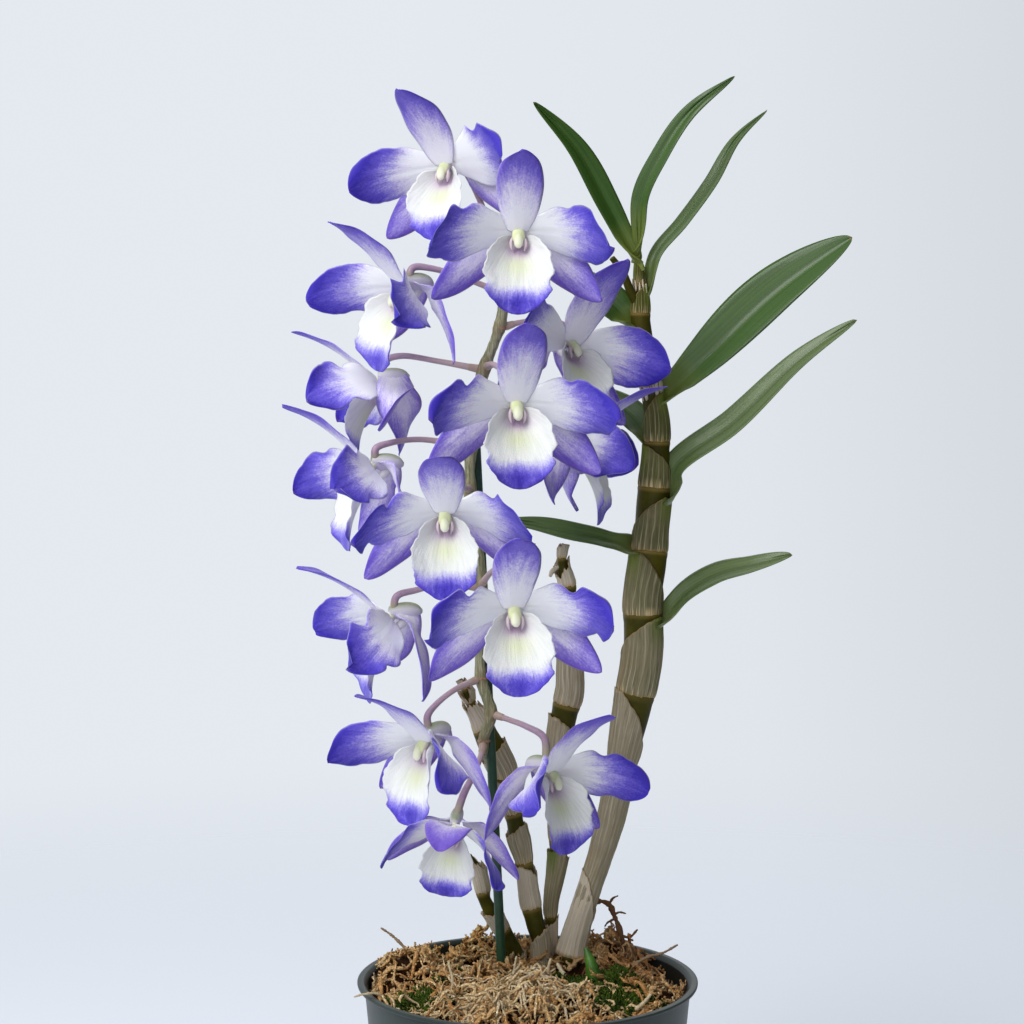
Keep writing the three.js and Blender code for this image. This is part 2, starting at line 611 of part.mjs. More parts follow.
// A cushion of moss that lies on the mix.
function mossCushion({ at: [x, y], radius, rise }, raisedMix) {
  const profile = [[0, 0], [0.9, 0], [1, 0.25], [0.8, 0.8], [0.4, 1], [0, 1.05]];
  const bottom = mixHeight(x, y) - 4;
  const cushion = turned(profile.map(([r, h]) => [radius * r, bottom + (rise + 4) * h]), 14);
  const mesh = cushion.getMesh();
  const points = [];
  for (let i = 0; i < mesh.vertProperties.length; i += 3) {
    const [px, py, pz] = mesh.vertProperties.slice(i, i + 3);
    const swell = 1 + 0.15 * Math.sin(3 * Math.atan2(py, px));
    points.push(new THREE.Vector3(x + px * swell, y + 0.75 * py, pz));
  }
  const faces = [];
  for (let i = 0; i < mesh.triVerts.length; i += 3) faces.push([...mesh.triVerts.slice(i, i + 3)]);
  return largestPiece(closedBody(points, faces).subtract(raisedMix));
}

// ---------------------------------------------------------------- assembly

const group = new THREE.Group();
const place = (name, body, material) => group.add(meshFrom(name, body, material));

const canes = {
  main_cane: MAIN_CANE,
  old_cane_middle: MIDDLE_CANE,
  old_cane_left: LEFT_CANE,
  old_cane_short: SHORT_CANE,
  flowering_cane: FLOWERING_CANE,
};
const caneSpaces = Object.fromEntries(
  Object.entries(canes).map(([name, shape]) => [name, clearance(shape)]));

const stakeCurve = new THREE.LineCurve3(vector(STAKE_FOOT), vector(STAKE_TOP));
const stakeRadius = (stop) => (stop > 0.995 ? 0.6 * STAKE_RADIUS : STAKE_RADIUS);
const stakeStops = [0, 0.35, 0.7, 0.992, 1];
const stake = rod(stakeCurve, stakeStops, stakeRadius, 8);

const shoot = cane(SHOOT);
const curledRoot = twig(CURLED_ROOT, CURLED_ROOT_RADIUS, 0.8);
const paleRoot = twig(PALE_ROOT, PALE_ROOT_RADIUS, 0.9);
const stemHoles = joined([
  ...[...Object.values(canes), SHOOT].map(({ stations: [foot, neck] }) => (
    hole(foot, neck, Math.max(foot[3], neck[3])))),
  hole(STAKE_FOOT, STAKE_TOP, STAKE_RADIUS),
  hole(CURLED_ROOT[0], CURLED_ROOT[1], CURLED_ROOT_RADIUS),
  hole(CURLED_ROOT.at(-1), CURLED_ROOT.at(-2), CURLED_ROOT_RADIUS),
  hole(PALE_ROOT[0], PALE_ROOT[1], PALE_ROOT_RADIUS),
]);

place("pot", pot(), POT_GREEN);
place("potting_mix", largestPiece(mixBody().subtract(stemHoles)), MIX_TAN);
const raisedMix = mixBody(GAP);
MOSS.forEach((patch, i) => {
  place(`moss_${i + 1}`, mossCushion(patch, raisedMix.add(stemHoles)), MOSS_GREEN);
});
place("support_stake", stake, STAKE_GREEN);

place("main_cane", cane(MAIN_CANE).add(twig(MAIN_CANE_STUB, 1.9, 1.2)), SHEATH_TAN);
place("old_cane_middle", cane(MIDDLE_CANE).add(twig(MIDDLE_CANE_STUB, 1.8, 1)), SHEATH_TAN);
place("old_cane_left", cane(LEFT_CANE), SHEATH_TAN);
place("old_cane_short", cane(SHORT_CANE), SHEATH_TAN);
place("flowering_cane", cane(FLOWERING_CANE), CANE_GREY_GREEN);

LEAVES.forEach((shape, i) => {
  place(`leaf_${i + 1}`, leaf(shape, caneSpaces.main_cane), LEAF_GREEN);
});
BLOOMS.forEach((flower, i) => {
  const number = String(i + 1).padStart(2, "0");
  place(`bloom_${number}`, bloom(flower, i, caneSpaces.flowering_cane), PETAL_VIOLET);
  place(`lip_${number}`, lip(flower, i), LIP_WHITE);
});

place("green_shoot", shoot, SHOOT_GREEN);
place("root_curled", curledRoot, ROOT_BROWN);
place("root_pale", paleRoot, ROOT_BROWN);

export default group;
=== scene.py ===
"""The looks of a Dendrobium orchid in its nursery pot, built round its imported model.

Plant tables are in millimetres, in the part's own frame: +Z up, the origin at the centre of the pot's
base, the blooms facing -Y. add_piece() turns them into metres.
"""

import json
import math

import bpy
import numpy as np
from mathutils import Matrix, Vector

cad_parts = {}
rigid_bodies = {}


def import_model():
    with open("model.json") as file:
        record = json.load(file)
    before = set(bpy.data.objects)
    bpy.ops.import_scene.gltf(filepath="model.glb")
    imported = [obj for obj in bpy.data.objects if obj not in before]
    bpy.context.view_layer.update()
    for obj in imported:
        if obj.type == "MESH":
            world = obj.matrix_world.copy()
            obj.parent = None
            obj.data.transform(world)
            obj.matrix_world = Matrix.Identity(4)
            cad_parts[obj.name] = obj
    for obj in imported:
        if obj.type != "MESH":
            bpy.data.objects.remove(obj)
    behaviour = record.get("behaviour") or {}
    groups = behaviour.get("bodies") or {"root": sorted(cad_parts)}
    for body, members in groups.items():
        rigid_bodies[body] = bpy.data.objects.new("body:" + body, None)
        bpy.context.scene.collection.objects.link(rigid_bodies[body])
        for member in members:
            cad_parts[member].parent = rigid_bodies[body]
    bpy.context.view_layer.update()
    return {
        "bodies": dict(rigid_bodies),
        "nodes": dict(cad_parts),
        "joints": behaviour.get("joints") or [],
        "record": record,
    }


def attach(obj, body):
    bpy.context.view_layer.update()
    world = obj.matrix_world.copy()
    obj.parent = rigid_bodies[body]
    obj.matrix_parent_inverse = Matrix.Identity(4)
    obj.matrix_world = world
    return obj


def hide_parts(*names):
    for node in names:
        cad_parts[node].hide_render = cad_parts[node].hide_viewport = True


MM = 0.001
TURN = 2 * math.pi

# ---------------------------------------------------------------- driving dimensions, as in the part

POT_HEIGHT = 105
RIM_RADIUS = 62.5
RIM_THICKNESS = 1.4
WALL = 1.4
WALL_TOP_RADIUS = 60
BASE_RADIUS = 50
FLOOR = 2
DRAIN_HOLES = 8
DRAIN_RADIUS = 3.5
DRAIN_RING = 36

MIX_EDGE_HEIGHT = 100.5
MIX_DOME = 8
MIX_BUMP = 1.4
# Heaps of sphagnum on the dome, and a hollow before the canes: x, y, height, spread.
MIX_HEAPS = [
    (34, 28, 11, 10), (-45, 10, 10, 9), (-22, 24, 3, 10), (4, -38, 3.5, 16), (46, -8, 3, 9), (16, -1, -4, 8),
]

STAKE_RADIUS = 1.75
STAKE_FOOT = (-5, 4, 15)
STAKE_TOP = (-19.2, 4, 308)

PETAL_HALF_WIDTH = 10.6
DORSAL_HALF_WIDTH = 8
LATERAL_HALF_WIDTH = 7.5
LIP_HALF_WIDTH = 12.4
PETAL_THICKNESS = 0.62
LIP_THICKNESS = 0.6
LEAF_THICKNESS = 0.9
SHEATH_STEP = 0.7

# Canes: stations are (x, y, z, radius). Sheaths are (height of the foot, of the mouth's low side and of
# its high side, the way its leaf points in turns from +X, age from 0 green to 1 bleached), and, where the
# mouth is frayed, how far it stands off.
CANES = {
    "main_cane": {
        "stations": [
            (14.5, 18.5, 88, 5.2), (16, 18, 108, 5.6), (19, 18, 120, 4.9), (23, 18, 133, 4.5),
            (27, 19, 145, 4.7), (32, 19, 163, 5.5), (35, 20, 179, 5.6), (37, 20, 190, 6.7),
            (40, 20, 205, 7.7), (43, 21, 223, 7.8), (43, 21, 242, 7.6), (45, 21, 257, 7.6),
            (46, 22, 268, 6.8), (47, 22, 280, 6.9), (48, 22, 295, 5.7), (48, 22, 309, 5),
            (46, 22, 320, 4.6), (42, 22, 345, 4.4), (42, 22, 355, 3.3), (41, 22, 366, 1.8),
            (41, 22, 372, 1),
        ],
        "sheaths": [
            (109, 122, 140, 0.46, 1.0), (124, 181, 208, 0.5, 0.8), (206.5, 219, 236, -0.04, 0.45),
            (236.6, 239, 260, 0.53, 0.3), (260, 263, 281, -0.04, 0.22), (284, 287, 300, 0.5, 0.15),
            (301, 304, 319, -0.05, 0.1), (321, 324, 343, 0.52, 0.05), (348.5, 351, 359, -0.03, 0.0),
            (359.5, 362, 371, 0.5, 0.0),
        ],
    },
    "old_cane_middle": {
        "stations": [
            (8, 25.5, 90, 2.6), (9, 25, 112, 2.7), (9, 25, 126, 2.9), (11, 25, 139, 3.8),
            (12, 25, 148, 4.2), (12, 25, 166, 4.5), (12, 24, 187, 5.1), (14, 24, 199, 5.6),
            (16, 24, 208, 5.5), (16, 24, 217, 5.1), (15, 24, 242, 4.1), (15, 24, 248, 3.6),
            (13, 24, 257, 2.2), (14, 24, 263, 1),
        ],
        "sheaths": [
            (92, 116, 122, 0.1, 1.0), (121, 143, 147, 0.6, 0.6), (150, 184, 198, 0.55, 0.9),
            (202, 238, 244, 0.05, 0.95), (247, 250, 258, 0.15, 1.0, 0.5), (257.5, 261, 264.5, 0.0, 1.0, 0.5),
        ],
    },
    "old_cane_left": {
        "stations": [
            (4, 15, 92, 3.4), (5, 16, 113, 3.7), (3, 16, 121, 4.1), (1, 17, 130, 4.1),
            (-1, 17, 144, 3.6), (-3, 18, 152, 4.4), (-5, 18.5, 161, 3.8), (-7, 19, 169, 4.9),
            (-9, 19, 178, 5.6), (-11, 19, 183, 5.6), (-15, 19, 191, 5.2), (-18, 18.5, 198, 3.6),
            (-21, 18, 204, 2.4), (-23, 17, 209, 1.8), (-25, 17, 213, 0.8),
        ],
        "sheaths": [
            (94, 112, 119, 0.0, 0.9), (126, 139, 144, 0.45, 1.0), (143.5, 154, 158, 0.05, 0.8),
            (161.5, 170, 176, 0.5, 0.95), (175.5, 183, 188, 0.1, 0.9), (194, 200, 204, 0.55, 1.0, 0.7),
            (204.5, 207, 210, 0.2, 1.0, 0.9), (209.5, 211.5, 214, 0.5, 1.0, 0.6),
        ],
    },
    "old_cane_short": {
        "stations": [
            (-4.5, 16, 92, 3.4), (-4, 16, 108, 3.7), (-6, 16, 113, 3.7), (-9, 16, 118, 3.6),
            (-13, 15, 125, 3.4), (-16, 14, 131, 3), (-17, 14, 136, 3.1), (-19, 14, 143, 2.2),
            (-21, 13, 148, 0.8),
        ],
        "sheaths": [(94, 106, 110, 0.1, 0.9), (118, 123, 127, 0.5, 1.0), (133, 141, 147, 0.5, 1.0, 0.7)],
    },
}
FLOWERING_CANE = [
    (-8.6, 9, 90, 1.4), (-9.5, 9, 108, 1.4), (-10.7, 9, 132, 1.4), (-11.9, 9, 157, 1.4),
    (-13.2, 8.5, 179, 1.4), (-16.2, 2, 192, 1.7), (-13.4, -0.5, 203, 2.1), (-17, -1, 216, 1.9),
    (-17, -1, 235, 1.9), (-17, -1, 250, 2.2), (-18, -1, 263, 1.9), (-20, -1, 275, 1.9),
    (-21, -1, 285, 2.2), (-21, -1, 292, 1.9), (-20.5, -1, 300, 2.2), (-19, -1, 311, 1.9),
    (-18, -1, 320, 2.2), (-15.5, -1, 329, 2.1), (-12, -1, 338, 1.8), (-10, -1, 344, 2),
    (-8, -1, 356, 1.8), (-7, -1, 361, 1.4), (-6.5, -1, 364, 0.7),
]
MAIN_CANE_STUB = [(42, 22, 350), (38, 20, 357), (35, 18, 364), (31, 16, 369)]
MIDDLE_CANE_STUB = [(13, 24, 255), (9.5, 23, 253), (8.5, 22, 251)]
FIBRES = [(318, 326, 12, 5), (356, 362, 6, 6)]  # torn strips on the main cane: from, to, number, seed

# Leaves: spine points from the cane outwards, half width, the way the upper side faces, the tone from 0
# deep green to 1 grey green, and how far out (0.8 to 1.3) the leaf is widest.
LEAVES = [
    ([(41, 22, 368), (29, 20, 389), (18, 16, 408), (2, 10, 425)], 4.9, (0.3, -1, 0.3), 0.0, 0.9),
    ([(41, 21, 371), (42, 19, 391), (49, 16, 406), (59, 13, 421), (75, 8, 434)], 3.9,
     (-0.5, -1, 0.3), 0.1, 0.9),
    ([(42, 22, 356), (48, 23, 370), (58, 25, 382), (69, 28, 397), (78, 32, 413), (90, 36, 425)], 4,
     (-0.8, -0.75, 0.5), 0.55, 0.9),
    ([(48, 22, 316), (69, 18, 335), (91, 14, 356), (118, 8, 376)], 10, (-0.35, -1, 0.5), 0.1, 1.3),
    ([(48, 22, 279), (55, 19, 291), (76, 12, 308), (99, 6, 331), (119, 2, 346)], 6.2,
     (-0.5, -0.75, 0.6), 0.9, 0.85),
    ([(44, 21, 233), (58, 16, 244), (70, 11, 252), (82, 5, 256), (96, 0, 261)], 5.6,
     (-0.2, -0.7, 0.8), 1.0, 1.0),
    ([(43, 21, 260), (28, 15, 265), (16, 11, 268), (3, 10, 271), (-10, 10, 273)], 4.4,
     (0, -0.7, 0.6), 0.5, 0.8),
    ([(42, 22, 344), (31, 24, 352), (20, 28, 359), (4, 34, 368)], 7.5, (0.2, -1, 0.6), 0.1, 0.9),
    ([(48, 24, 301), (40, 32, 309), (33, 38, 315), (24, 44, 321)], 6.5, (0.2, -1, 0.6), 0.2, 0.9),
]

# Blooms: the flower's heart, its turn, nod and roll in degrees, its size and its stalk's route.
BLOOMS = [
    ((-29, -2, 405), -24, 28, -7, 0.97, [(-7, -1, 359), (-12, 3, 375), (-20, 6, 395), (-27, 4, 406)]),
    ((-3.5, -30, 380), 1, 29, 1, 1.02, [(-8, -1, 357), (-8, -10, 367), (-6, -20, 378), (-4, -28, 383)]),
    ((-43, -12, 361), -58, 33, 8, 1.02, [(-8, -1, 355), (-18, -3, 359), (-34, -8, 364), (-41, -11, 364)]),
    ((-54, 8, 327), -86, 36, -14, 0.97, [(-16, -1, 328), (-32, 0, 331), (-46, 4, 333), (-52, 8, 331)]),
    ((15, 5, 341), 30, 16, 15, 1, [(-10, -1, 343), (-3, 2, 345), (6, 7, 346), (13, 7, 344)]),
    ((-4.5, -33.5, 321), 8, 27, 1, 1.05,
     [(-15, -1, 329), (-13, -10, 330), (-9, -22, 328), (-5, -31.5, 325)]),
    ((17.5, 5, 305), 76, 34, 7, 1, [(-18, -1, 320), (-5, 6, 322), (9, 9, 318), (16, 7, 310)]),
    ((-28.5, -51.5, 284), 0, 36, -2, 0.98,
     [(-21, -1, 285), (-23, -14, 286), (-27, -34, 288), (-28.5, -49, 286)]),
    ((-5.5, -50, 251.5), 8, 28, -2, 1.03,
     [(-17, -1, 250), (-13, -14, 256), (-8, -34, 259), (-6, -48, 255)]),
    ((-55, -15.5, 297), -69, 32, -4, 1,
     [(-20.5, -1, 300), (-38, -6, 303), (-49, -13, 302), (-54, -16, 300)]),
    ((-49, -12, 243), -76, 37, 7, 1.02,
     [(-17, -1, 249), (-30, -6, 251), (-40, -9, 249), (-47, -12, 247)]),
    ((-36, -15, 200), -45, 38, 2, 1.01,
     [(-17, -1, 216), (-26, -8, 213), (-33, -12, 208), (-36, -14, 204)]),
    ((-26, -24, 169), -17, 53, 12, 0.84,
     [(-16, 2, 192.5), (-17, -3, 188), (-19.5, -7, 182), (-23, -14, 176)]),
    ((7, -26, 190.5), 41, 30, 4, 0.98,
     [(-13.4, -0.5, 203), (-7, -5, 201.5), (-0.5, -11.5, 200), (5.6, -17, 197)]),
]

# Left and right petal of each bloom: how deep the notch in its margin is, how far the margin curls, how
# much paler it is and how far it bends forward.
PETAL_STYLES = [
    ((0.03, 0.8, 0.0, 0.0), (0.2, 1.4, 0.05, -0.25)),
    ((0.2, 1.0, 0.0, 0.0), (0.12, 1.0, 0.0, 0.0)),
    ((0.06, 0.8, 0.0, 0.0), (0.3, 1.8, 0.05, 0.15)),
    ((0.2, 1.6, 0.05, -0.15), (0.26, 2.0, 0.16, 0.3)),
    ((0.1, 1.2, 0.05, -0.35), (0.0, 0.6, 0.0, 0.0)),
    ((0.26, 1.2, 0.0, 0.0), (0.12, 1.0, 0.0, 0.0)),
    ((0.1, 1.0, 0.1, 0.4), (0.12, 0.8, 0.0, -0.5)),
    ((0.42, 1.3, -0.05, 0.0), (0.3, 1.2, 0.0, 0.0)),
    ((0.28, 1.2, 0.0, 0.0), (0.3, 1.2, 0.0, 0.0)),
    ((0.14, 1.2, 0.08, 0.0), (0.3, 1.8, 0.14, 0.0)),
    ((0.14, 1.2, 0.08, 0.0), (0.34, 2.0, 0.12, 0.2)),
    ((0.04, 0.8, 0.0, 0.0), (0.3, 1.6, 0.04, 0.1)),
    ((0.1, 1.0, 0.0, 0.3), (0.1, 1.2, 0.0, 0.6)),
    ((0.26, 2.0, 0.0, 0.3), (0.14, 1.0, 0.0, 0.0)),
]
HOODED = {13: 0.9}  # blooms whose top sepal bends down over the column
TWISTED = {4, 7}  # blooms whose side sepals turn their edge to the side
BROAD = {(1, 1): 1.28, (13, -1): 1.15, (5, 1): 1.06}  # broader petals: (bloom, -1 left or 1 right)

SHOOT = [(26.2, -7, 92, 2.2), (24.6, -5.8, 103, 2.5), (23.3, -4.8, 111, 2.2), (21.2, -3, 117, 0.8)]
CURLED_ROOT = [
    (18.4, 28, 98), (20.2, 28, 114), (23, 27, 122), (27, 26, 127), (31, 25.5, 126), (33, 26, 121.5),
    (34.8, 26.6, 117), (38.8, 28, 101),
]
CURLED_ROOT_RADIUS = 1
PALE_ROOT = [(16.5, -11, 94), (13.6, -7.3, 105.5), (12.6, -6, 108.5), (10.8, -3.8, 111.5)]
# Bare twigs that stick out of the mix: thickness, paleness, then their route.
TWIGS = [
    (0.75, 0.2, [(38, 7, 107), (45, 8.5, 110.5), (50, 9.5, 111.5), (56, 10.5, 114.5)]),
    (0.7, 0.2, [(-44, 9, 112), (-48, 10, 116), (-51, 10.5, 118.5), (-54.5, 10, 121)]),
    (0.55, 0.3, [(-52, -3, 101), (-55, -6, 105), (-56, -8, 109)]),
    (0.6, 0.6, [(-50, -22, 100), (-53, -23.3, 105.3), (-55, -24, 106), (-58.5, -25, 106), (-62, -25, 105)]),
    (0.55, 0.0, [(31, 25.4, 126), (32.5, 25, 128.5), (34.5, 25, 129.5)]),
    (0.5, 0.0, [(33, 26, 122), (35, 25.6, 123), (37.5, 25.4, 122.5)]),
    (0.5, 0.0, [(32.5, 26, 120), (30.5, 25.6, 119), (29.4, 25.4, 117.5)]),
    (0.6, 0.0, [(36, 27, 113.5), (39, 27, 113), (41.5, 27, 115.5), (42, 27, 116)]),
    (0.8, 0.8, [(38, -34, 103), (41, -36, 106.5), (43, -37, 109.5)]),
    (0.7, 0.8, [(-9, -12, 105), (-5, -11, 110), (-4.6, -11, 113), (-4, -11, 116)]),
    (0.5, 0.8, [(-5, -11, 110.5), (-3, -11, 112.5), (-2.6, -11, 114.5)]),
    (0.9, 0.75, [(6, -14, 102), (6.6, -13, 108), (7.4, -12.6, 112), (8.4, -12, 115.5)]),
    (0.5, 0.75, [(7, -13, 110), (8.6, -13, 111), (10, -13, 112)]),
    (0.6, 0.9, [(-27, -22, 105), (-27, -22, 111), (-28, -22, 115), (-28.4, -22, 117)]),
    (0.6, 0.7, [(19, -14, 101), (22, -13, 102.5), (26, -12, 103)]),
]
MOSS = [(-38, -26, 11, 3.4), (35, -26, 11, 3.2), (32, -4, 8, 3)]  # x, y, radius, rise
# Small tufts of moss in the hollows of the mix: x, y, radius.
MOSS_SCRAPS = [(12, -6, 8), (3, -4, 4), (-27, 4, 3.5), (23, -16, 7), (-33, -10, 3), (26, 2, 4), (40, -16, 5)]

# ---------------------------------------------------------------- forms: points, faces and values


def unit(vectors):
    return vectors / np.maximum(np.linalg.norm(vectors, axis=-1, keepdims=True), 1e-12)


class Form:
    """Points, faces and values by point of one piece, while it is put together."""

    def __init__(self):
        self.points, self.faces, self.slots, self.values, self.count = [], [], [], {}, 0

    def add(self, points, faces, slot=0, **values):
        """Takes in the points that the faces use. A value is one number, or one by point."""
        points = np.asarray(points, float).reshape(-1, 3)
        used, numbers = np.unique([n for face in faces for n in face], return_inverse=True)
        numbers = (numbers + self.count).tolist()
        start = 0
        for face in faces:
            self.faces.append(numbers[start:start + len(face)])
            start += len(face)
        self.slots += [slot] * len(faces)
        for name in set(self.values) | set(values):
            known = self.values.setdefault(name, [np.zeros(self.count)])
            value = np.asarray(values.get(name, 0.0), float).reshape(-1)
            known.append(np.broadcast_to(value, len(points))[used])
        self.points.append(points[used])
        self.count += len(used)


def add_piece(name, form, materials, nodes=()):
    """Makes the form into an object that rides on the part and stands for the named CAD nodes."""
    mesh = bpy.data.meshes.new(name)
    mesh.from_pydata((np.concatenate(form.points) * MM).tolist(), [], form.faces)
    for key, parts in form.values.items():
        attribute = mesh.attributes.new(key, "FLOAT", "POINT")
        attribute.data.foreach_set("value", np.concatenate(parts).astype(np.float32))
    for material in materials:
        mesh.materials.append(material)
    mesh.polygons.foreach_set("material_index", form.slots)
    mesh.polygons.foreach_set("use_smooth", [True] * len(mesh.polygons))
    piece = bpy.data.objects.new(name, mesh)
    bpy.context.scene.collection.objects.link(piece)
    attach(piece, "root")
    if nodes:
        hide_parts(*nodes)


def grid_faces(numbers):
    """Faces of a grid of point numbers. A face loses the corners that share a number."""
    corners = np.stack([numbers[:-1, :-1], numbers[:-1, 1:], numbers[1:, 1:], numbers[1:, :-1]], -1)
    faces = (list(dict.fromkeys(corner)) for corner in corners.reshape(-1, 4).tolist())
    return [face for face in faces if len(face) > 2]


def ring_faces(numbers):
    """Faces of a grid of point numbers whose rows are closed rings."""
    return grid_faces(np.hstack([numbers, numbers[:, :1]]))


def numbered(points):
    """The number of each point in a grid of points."""
    return np.arange(points[..., 0].size).reshape(points.shape[:-1])


def looped_faces(points):
    """Faces of rings of points whose last ring joins the first."""
    numbers = numbered(points)
    return ring_faces(np.vstack([numbers, numbers[:1]]))


def turns(sides):
    """The angles of a ring's corners."""
    return TURN * np.arange(sides) / sides


def blade(form, surface, rows, columns, thickness, values):
    """A thin closed blade over surface(s, t): s from root to tip, t from edge to edge, -1 to 1.

    values(s, t) gives what its paint reads."""
    even = np.linspace(0, 1, rows + 1)[:, None]
    s = 0.5 * even + 0.25 * (1 - np.cos(math.pi * even))
    s, t = np.broadcast_arrays(s, np.linspace(-1, 1, columns + 1)[None, :])
    step = 1e-3
    inner = np.clip(s, 2 * step, 1 - 4 * step)
    edge = np.clip(t, step - 1, 1 - step)
    along = surface(inner + step, edge) - surface(inner - step, edge)
    across = surface(inner, edge + step) - surface(inner, edge - step)
    depth = 0.5 * thickness * np.sqrt(np.clip(1 - t**6, 0, 1) * np.clip(1 - s**14, 0, 1))
    offset = unit(np.cross(along, across)) * depth[..., None]
    middle = surface(s, t)
    front = numbered(middle)
    front[-1] = front[-1, 0]
    back = front + s.size
    back[:, [0, -1]] = front[:, [0, -1]]
    back[[0, -1]] = front[[0, -1]]
    points = np.concatenate([(middle + offset).reshape(-1, 3), (middle - offset).reshape(-1, 3)])
    doubled = {key: np.tile(np.broadcast_to(value, s.shape).reshape(-1), 2)
               for key, value in values(s, t).items()}
    doubled["back"] = np.repeat([0.0, 1.0], s.size)
    form.add(points, grid_faces(front) + grid_faces(back[:, ::-1]), **doubled)


# ---------------------------------------------------------------- curves

NUDGE = 1e-4  # how far apart two places on a curve give its direction


class Arch:
    """A cubic Bezier curve through its first and last point."""

    def __init__(self, *points):
        self.points = np.array(points, float)

    def at(self, s):
        s = np.asarray(s, float)[..., None]
        a, b, c, d = self.points
        return (1 - s) ** 3 * a + 3 * s * (1 - s) ** 2 * b + 3 * s**2 * (1 - s) * c + s**3 * d

    def ahead(self, s):
        return unit(self.at(np.asarray(s) + NUDGE) - self.at(np.asarray(s) - NUDGE))


class Route:
    """A smooth centripetal curve through all of its points, and through any values that they carry."""

    def __init__(self, points):
        self.points = np.array(points, float)
        ends = [2 * self.points[0] - self.points[1], 2 * self.points[-1] - self.points[-2]]
        self.padded = np.vstack([ends[0], self.points, ends[1]])
        steps = np.linalg.norm(np.diff(self.padded[:, :3], axis=0), axis=1)
        self.knots = np.maximum(np.sqrt(steps), 1e-4)

    def at(self, s):
        place = np.clip(np.asarray(s, float), 0, 1) * (len(self.points) - 1)
        i = np.minimum(place.astype(int), len(self.points) - 2)
        w = (place - i)[..., None]
        p0, p1, p2, p3 = (self.padded[i + k] for k in range(4))
        d0, d1, d2 = (self.knots[i + k][..., None] for k in range(3))
        m1 = d1 * ((p1 - p0) / d0 - (p2 - p0) / (d0 + d1) + (p2 - p1) / d1)
        m2 = d1 * ((p2 - p1) / d1 - (p3 - p1) / (d1 + d2) + (p3 - p2) / d2)
        return p1 + w * m1 + w**2 * (3 * (p2 - p1) - 2 * m1 - m2) + w**3 * (2 * (p1 - p2) + m1 + m2)

    def ahead(self, s):
        s = np.clip(np.asarray(s, float), NUDGE, 1 - NUDGE)
        return unit((self.at(s + NUDGE) - self.at(s - NUDGE))[..., :3])

    def length(self, samples):
        line = self.at(np.linspace(0, 1, samples))[:, :3]
        return np.linalg.norm(np.diff(line, axis=0), axis=1).sum()

    def stop_at_height(self, z):
        stops = np.linspace(0, 1, 2001)
        return np.interp(z, self.at(stops)[:, 2], stops)


def frames(ahead):
    """Side directions along a line that don't twist, from its directions."""
    across = np.cross([0.0, 1.0, 0.0], ahead[0])
    if np.linalg.norm(across) < 0.2:
        across = np.cross([1.0, 0.0, 0.0], ahead[0])
    sides = [unit(across)]
    for direction in ahead[1:]:
        side = sides[-1] - direction * np.dot(sides[-1], direction)
        sides.append(unit(side))
    sides = np.array(sides)
    return sides, np.cross(ahead, sides)


def circle(across, beside, sides):
    """A ring of directions at each point of a line, from its two side directions there."""
    angle = turns(sides)[:, None]
    return across[:, None] * np.cos(angle) + beside[:, None] * np.sin(angle)


def add_rings(form, rings, ends, slot=0, **values):
    """Rings of points with a point at each end. A value is one number, one by ring, or one by point."""
    count, sides = rings.shape[:2]
    numbers = numbered(rings)
    numbers = np.vstack([np.full(sides, numbers.size), numbers, np.full(sides, numbers.size + 1)])
    spread = {key: by_ring(value, count, sides) for key, value in values.items()}
    form.add(np.vstack([rings.reshape(-1, 3), *ends]), ring_faces(numbers), slot, **spread)


def tube(form, centres, radii, sides=12, slot=0, **values):
    """A closed tube along centres. Radii are by ring, or by ring and side."""
    centres = np.asarray(centres, float)
    ring = circle(*frames(unit(np.gradient(centres, axis=0))), sides)
    radii = np.asarray(radii, float)
    radii = radii[:, None] if radii.ndim == 1 else radii
    add_rings(form, centres[:, None] + ring * radii[..., None], centres[[0, -1]], slot, **values)


def by_ring(value, rings, sides):
    """A value for each point of rings and their two ends, from a number, one by ring, or one by point."""
    value = np.asarray(value, float)
    if value.ndim == 0:
        return np.full(rings * sides + 2, float(value))
    if value.ndim == 1:
        value = np.repeat(value[:, None], sides, axis=1)
    return np.concatenate([value.reshape(-1), [value[0].mean(), value[-1].mean()]])


def rounded(points, radii, spacing):
    """Centres and radii along a smooth route, about a step of spacing apart."""
    route = Route([(*p[:3], r) for p, r in zip(points, radii)])
    line = route.at(np.linspace(0, 1, max(4, int(route.length(200) / spacing))))
    return line[:, :3], np.maximum(line[:, 3], 0.05)


def strip(spine, facing, profile, root_facing=None, settle=(0, 0.2)):
    """A strip's surface along spine, square to facing. profile(s, t) gives (aside, lift).

    It may face another way at its root, and turns while s is within `settle`."""
    facing = np.array(facing, float)
    root_facing = facing if root_facing is None else np.array(root_facing, float)

    def surface(s, t):
        ahead = spine.ahead(s)
        blend = np.clip((s - settle[0]) / (settle[1] - settle[0]), 0, 1)[..., None]
        across = unit(np.cross(root_facing * (1 - blend) + facing * blend, ahead))
        out = np.cross(ahead, across)
        aside, lift = profile(s, t)
        return spine.at(s)[..., :3] + across * aside[..., None] + out * lift[..., None]

    return surface


def bell(value, centre, spread):
    """1 at the centre, and soon 0 beyond the spread."""
    return np.exp(-(((value - centre) / spread) ** 2))


def outline(s, half, peak, roundness):
    """Half width of a petal or leaf: widest where s to the power peak is a half."""
    return half * np.sin(math.pi * np.clip(s, 0, 1) ** peak) ** roundness


# ---------------------------------------------------------------- materials


def colour(red, green, blue):
    """A screen colour, 0 to 255, as Blender's linear colour."""
    return tuple(((c / 255 + 0.055) / 1.055) ** 2.4 if c > 10 else c / 255 / 12.92
                 for c in (red, green, blue)) + (1.0,)


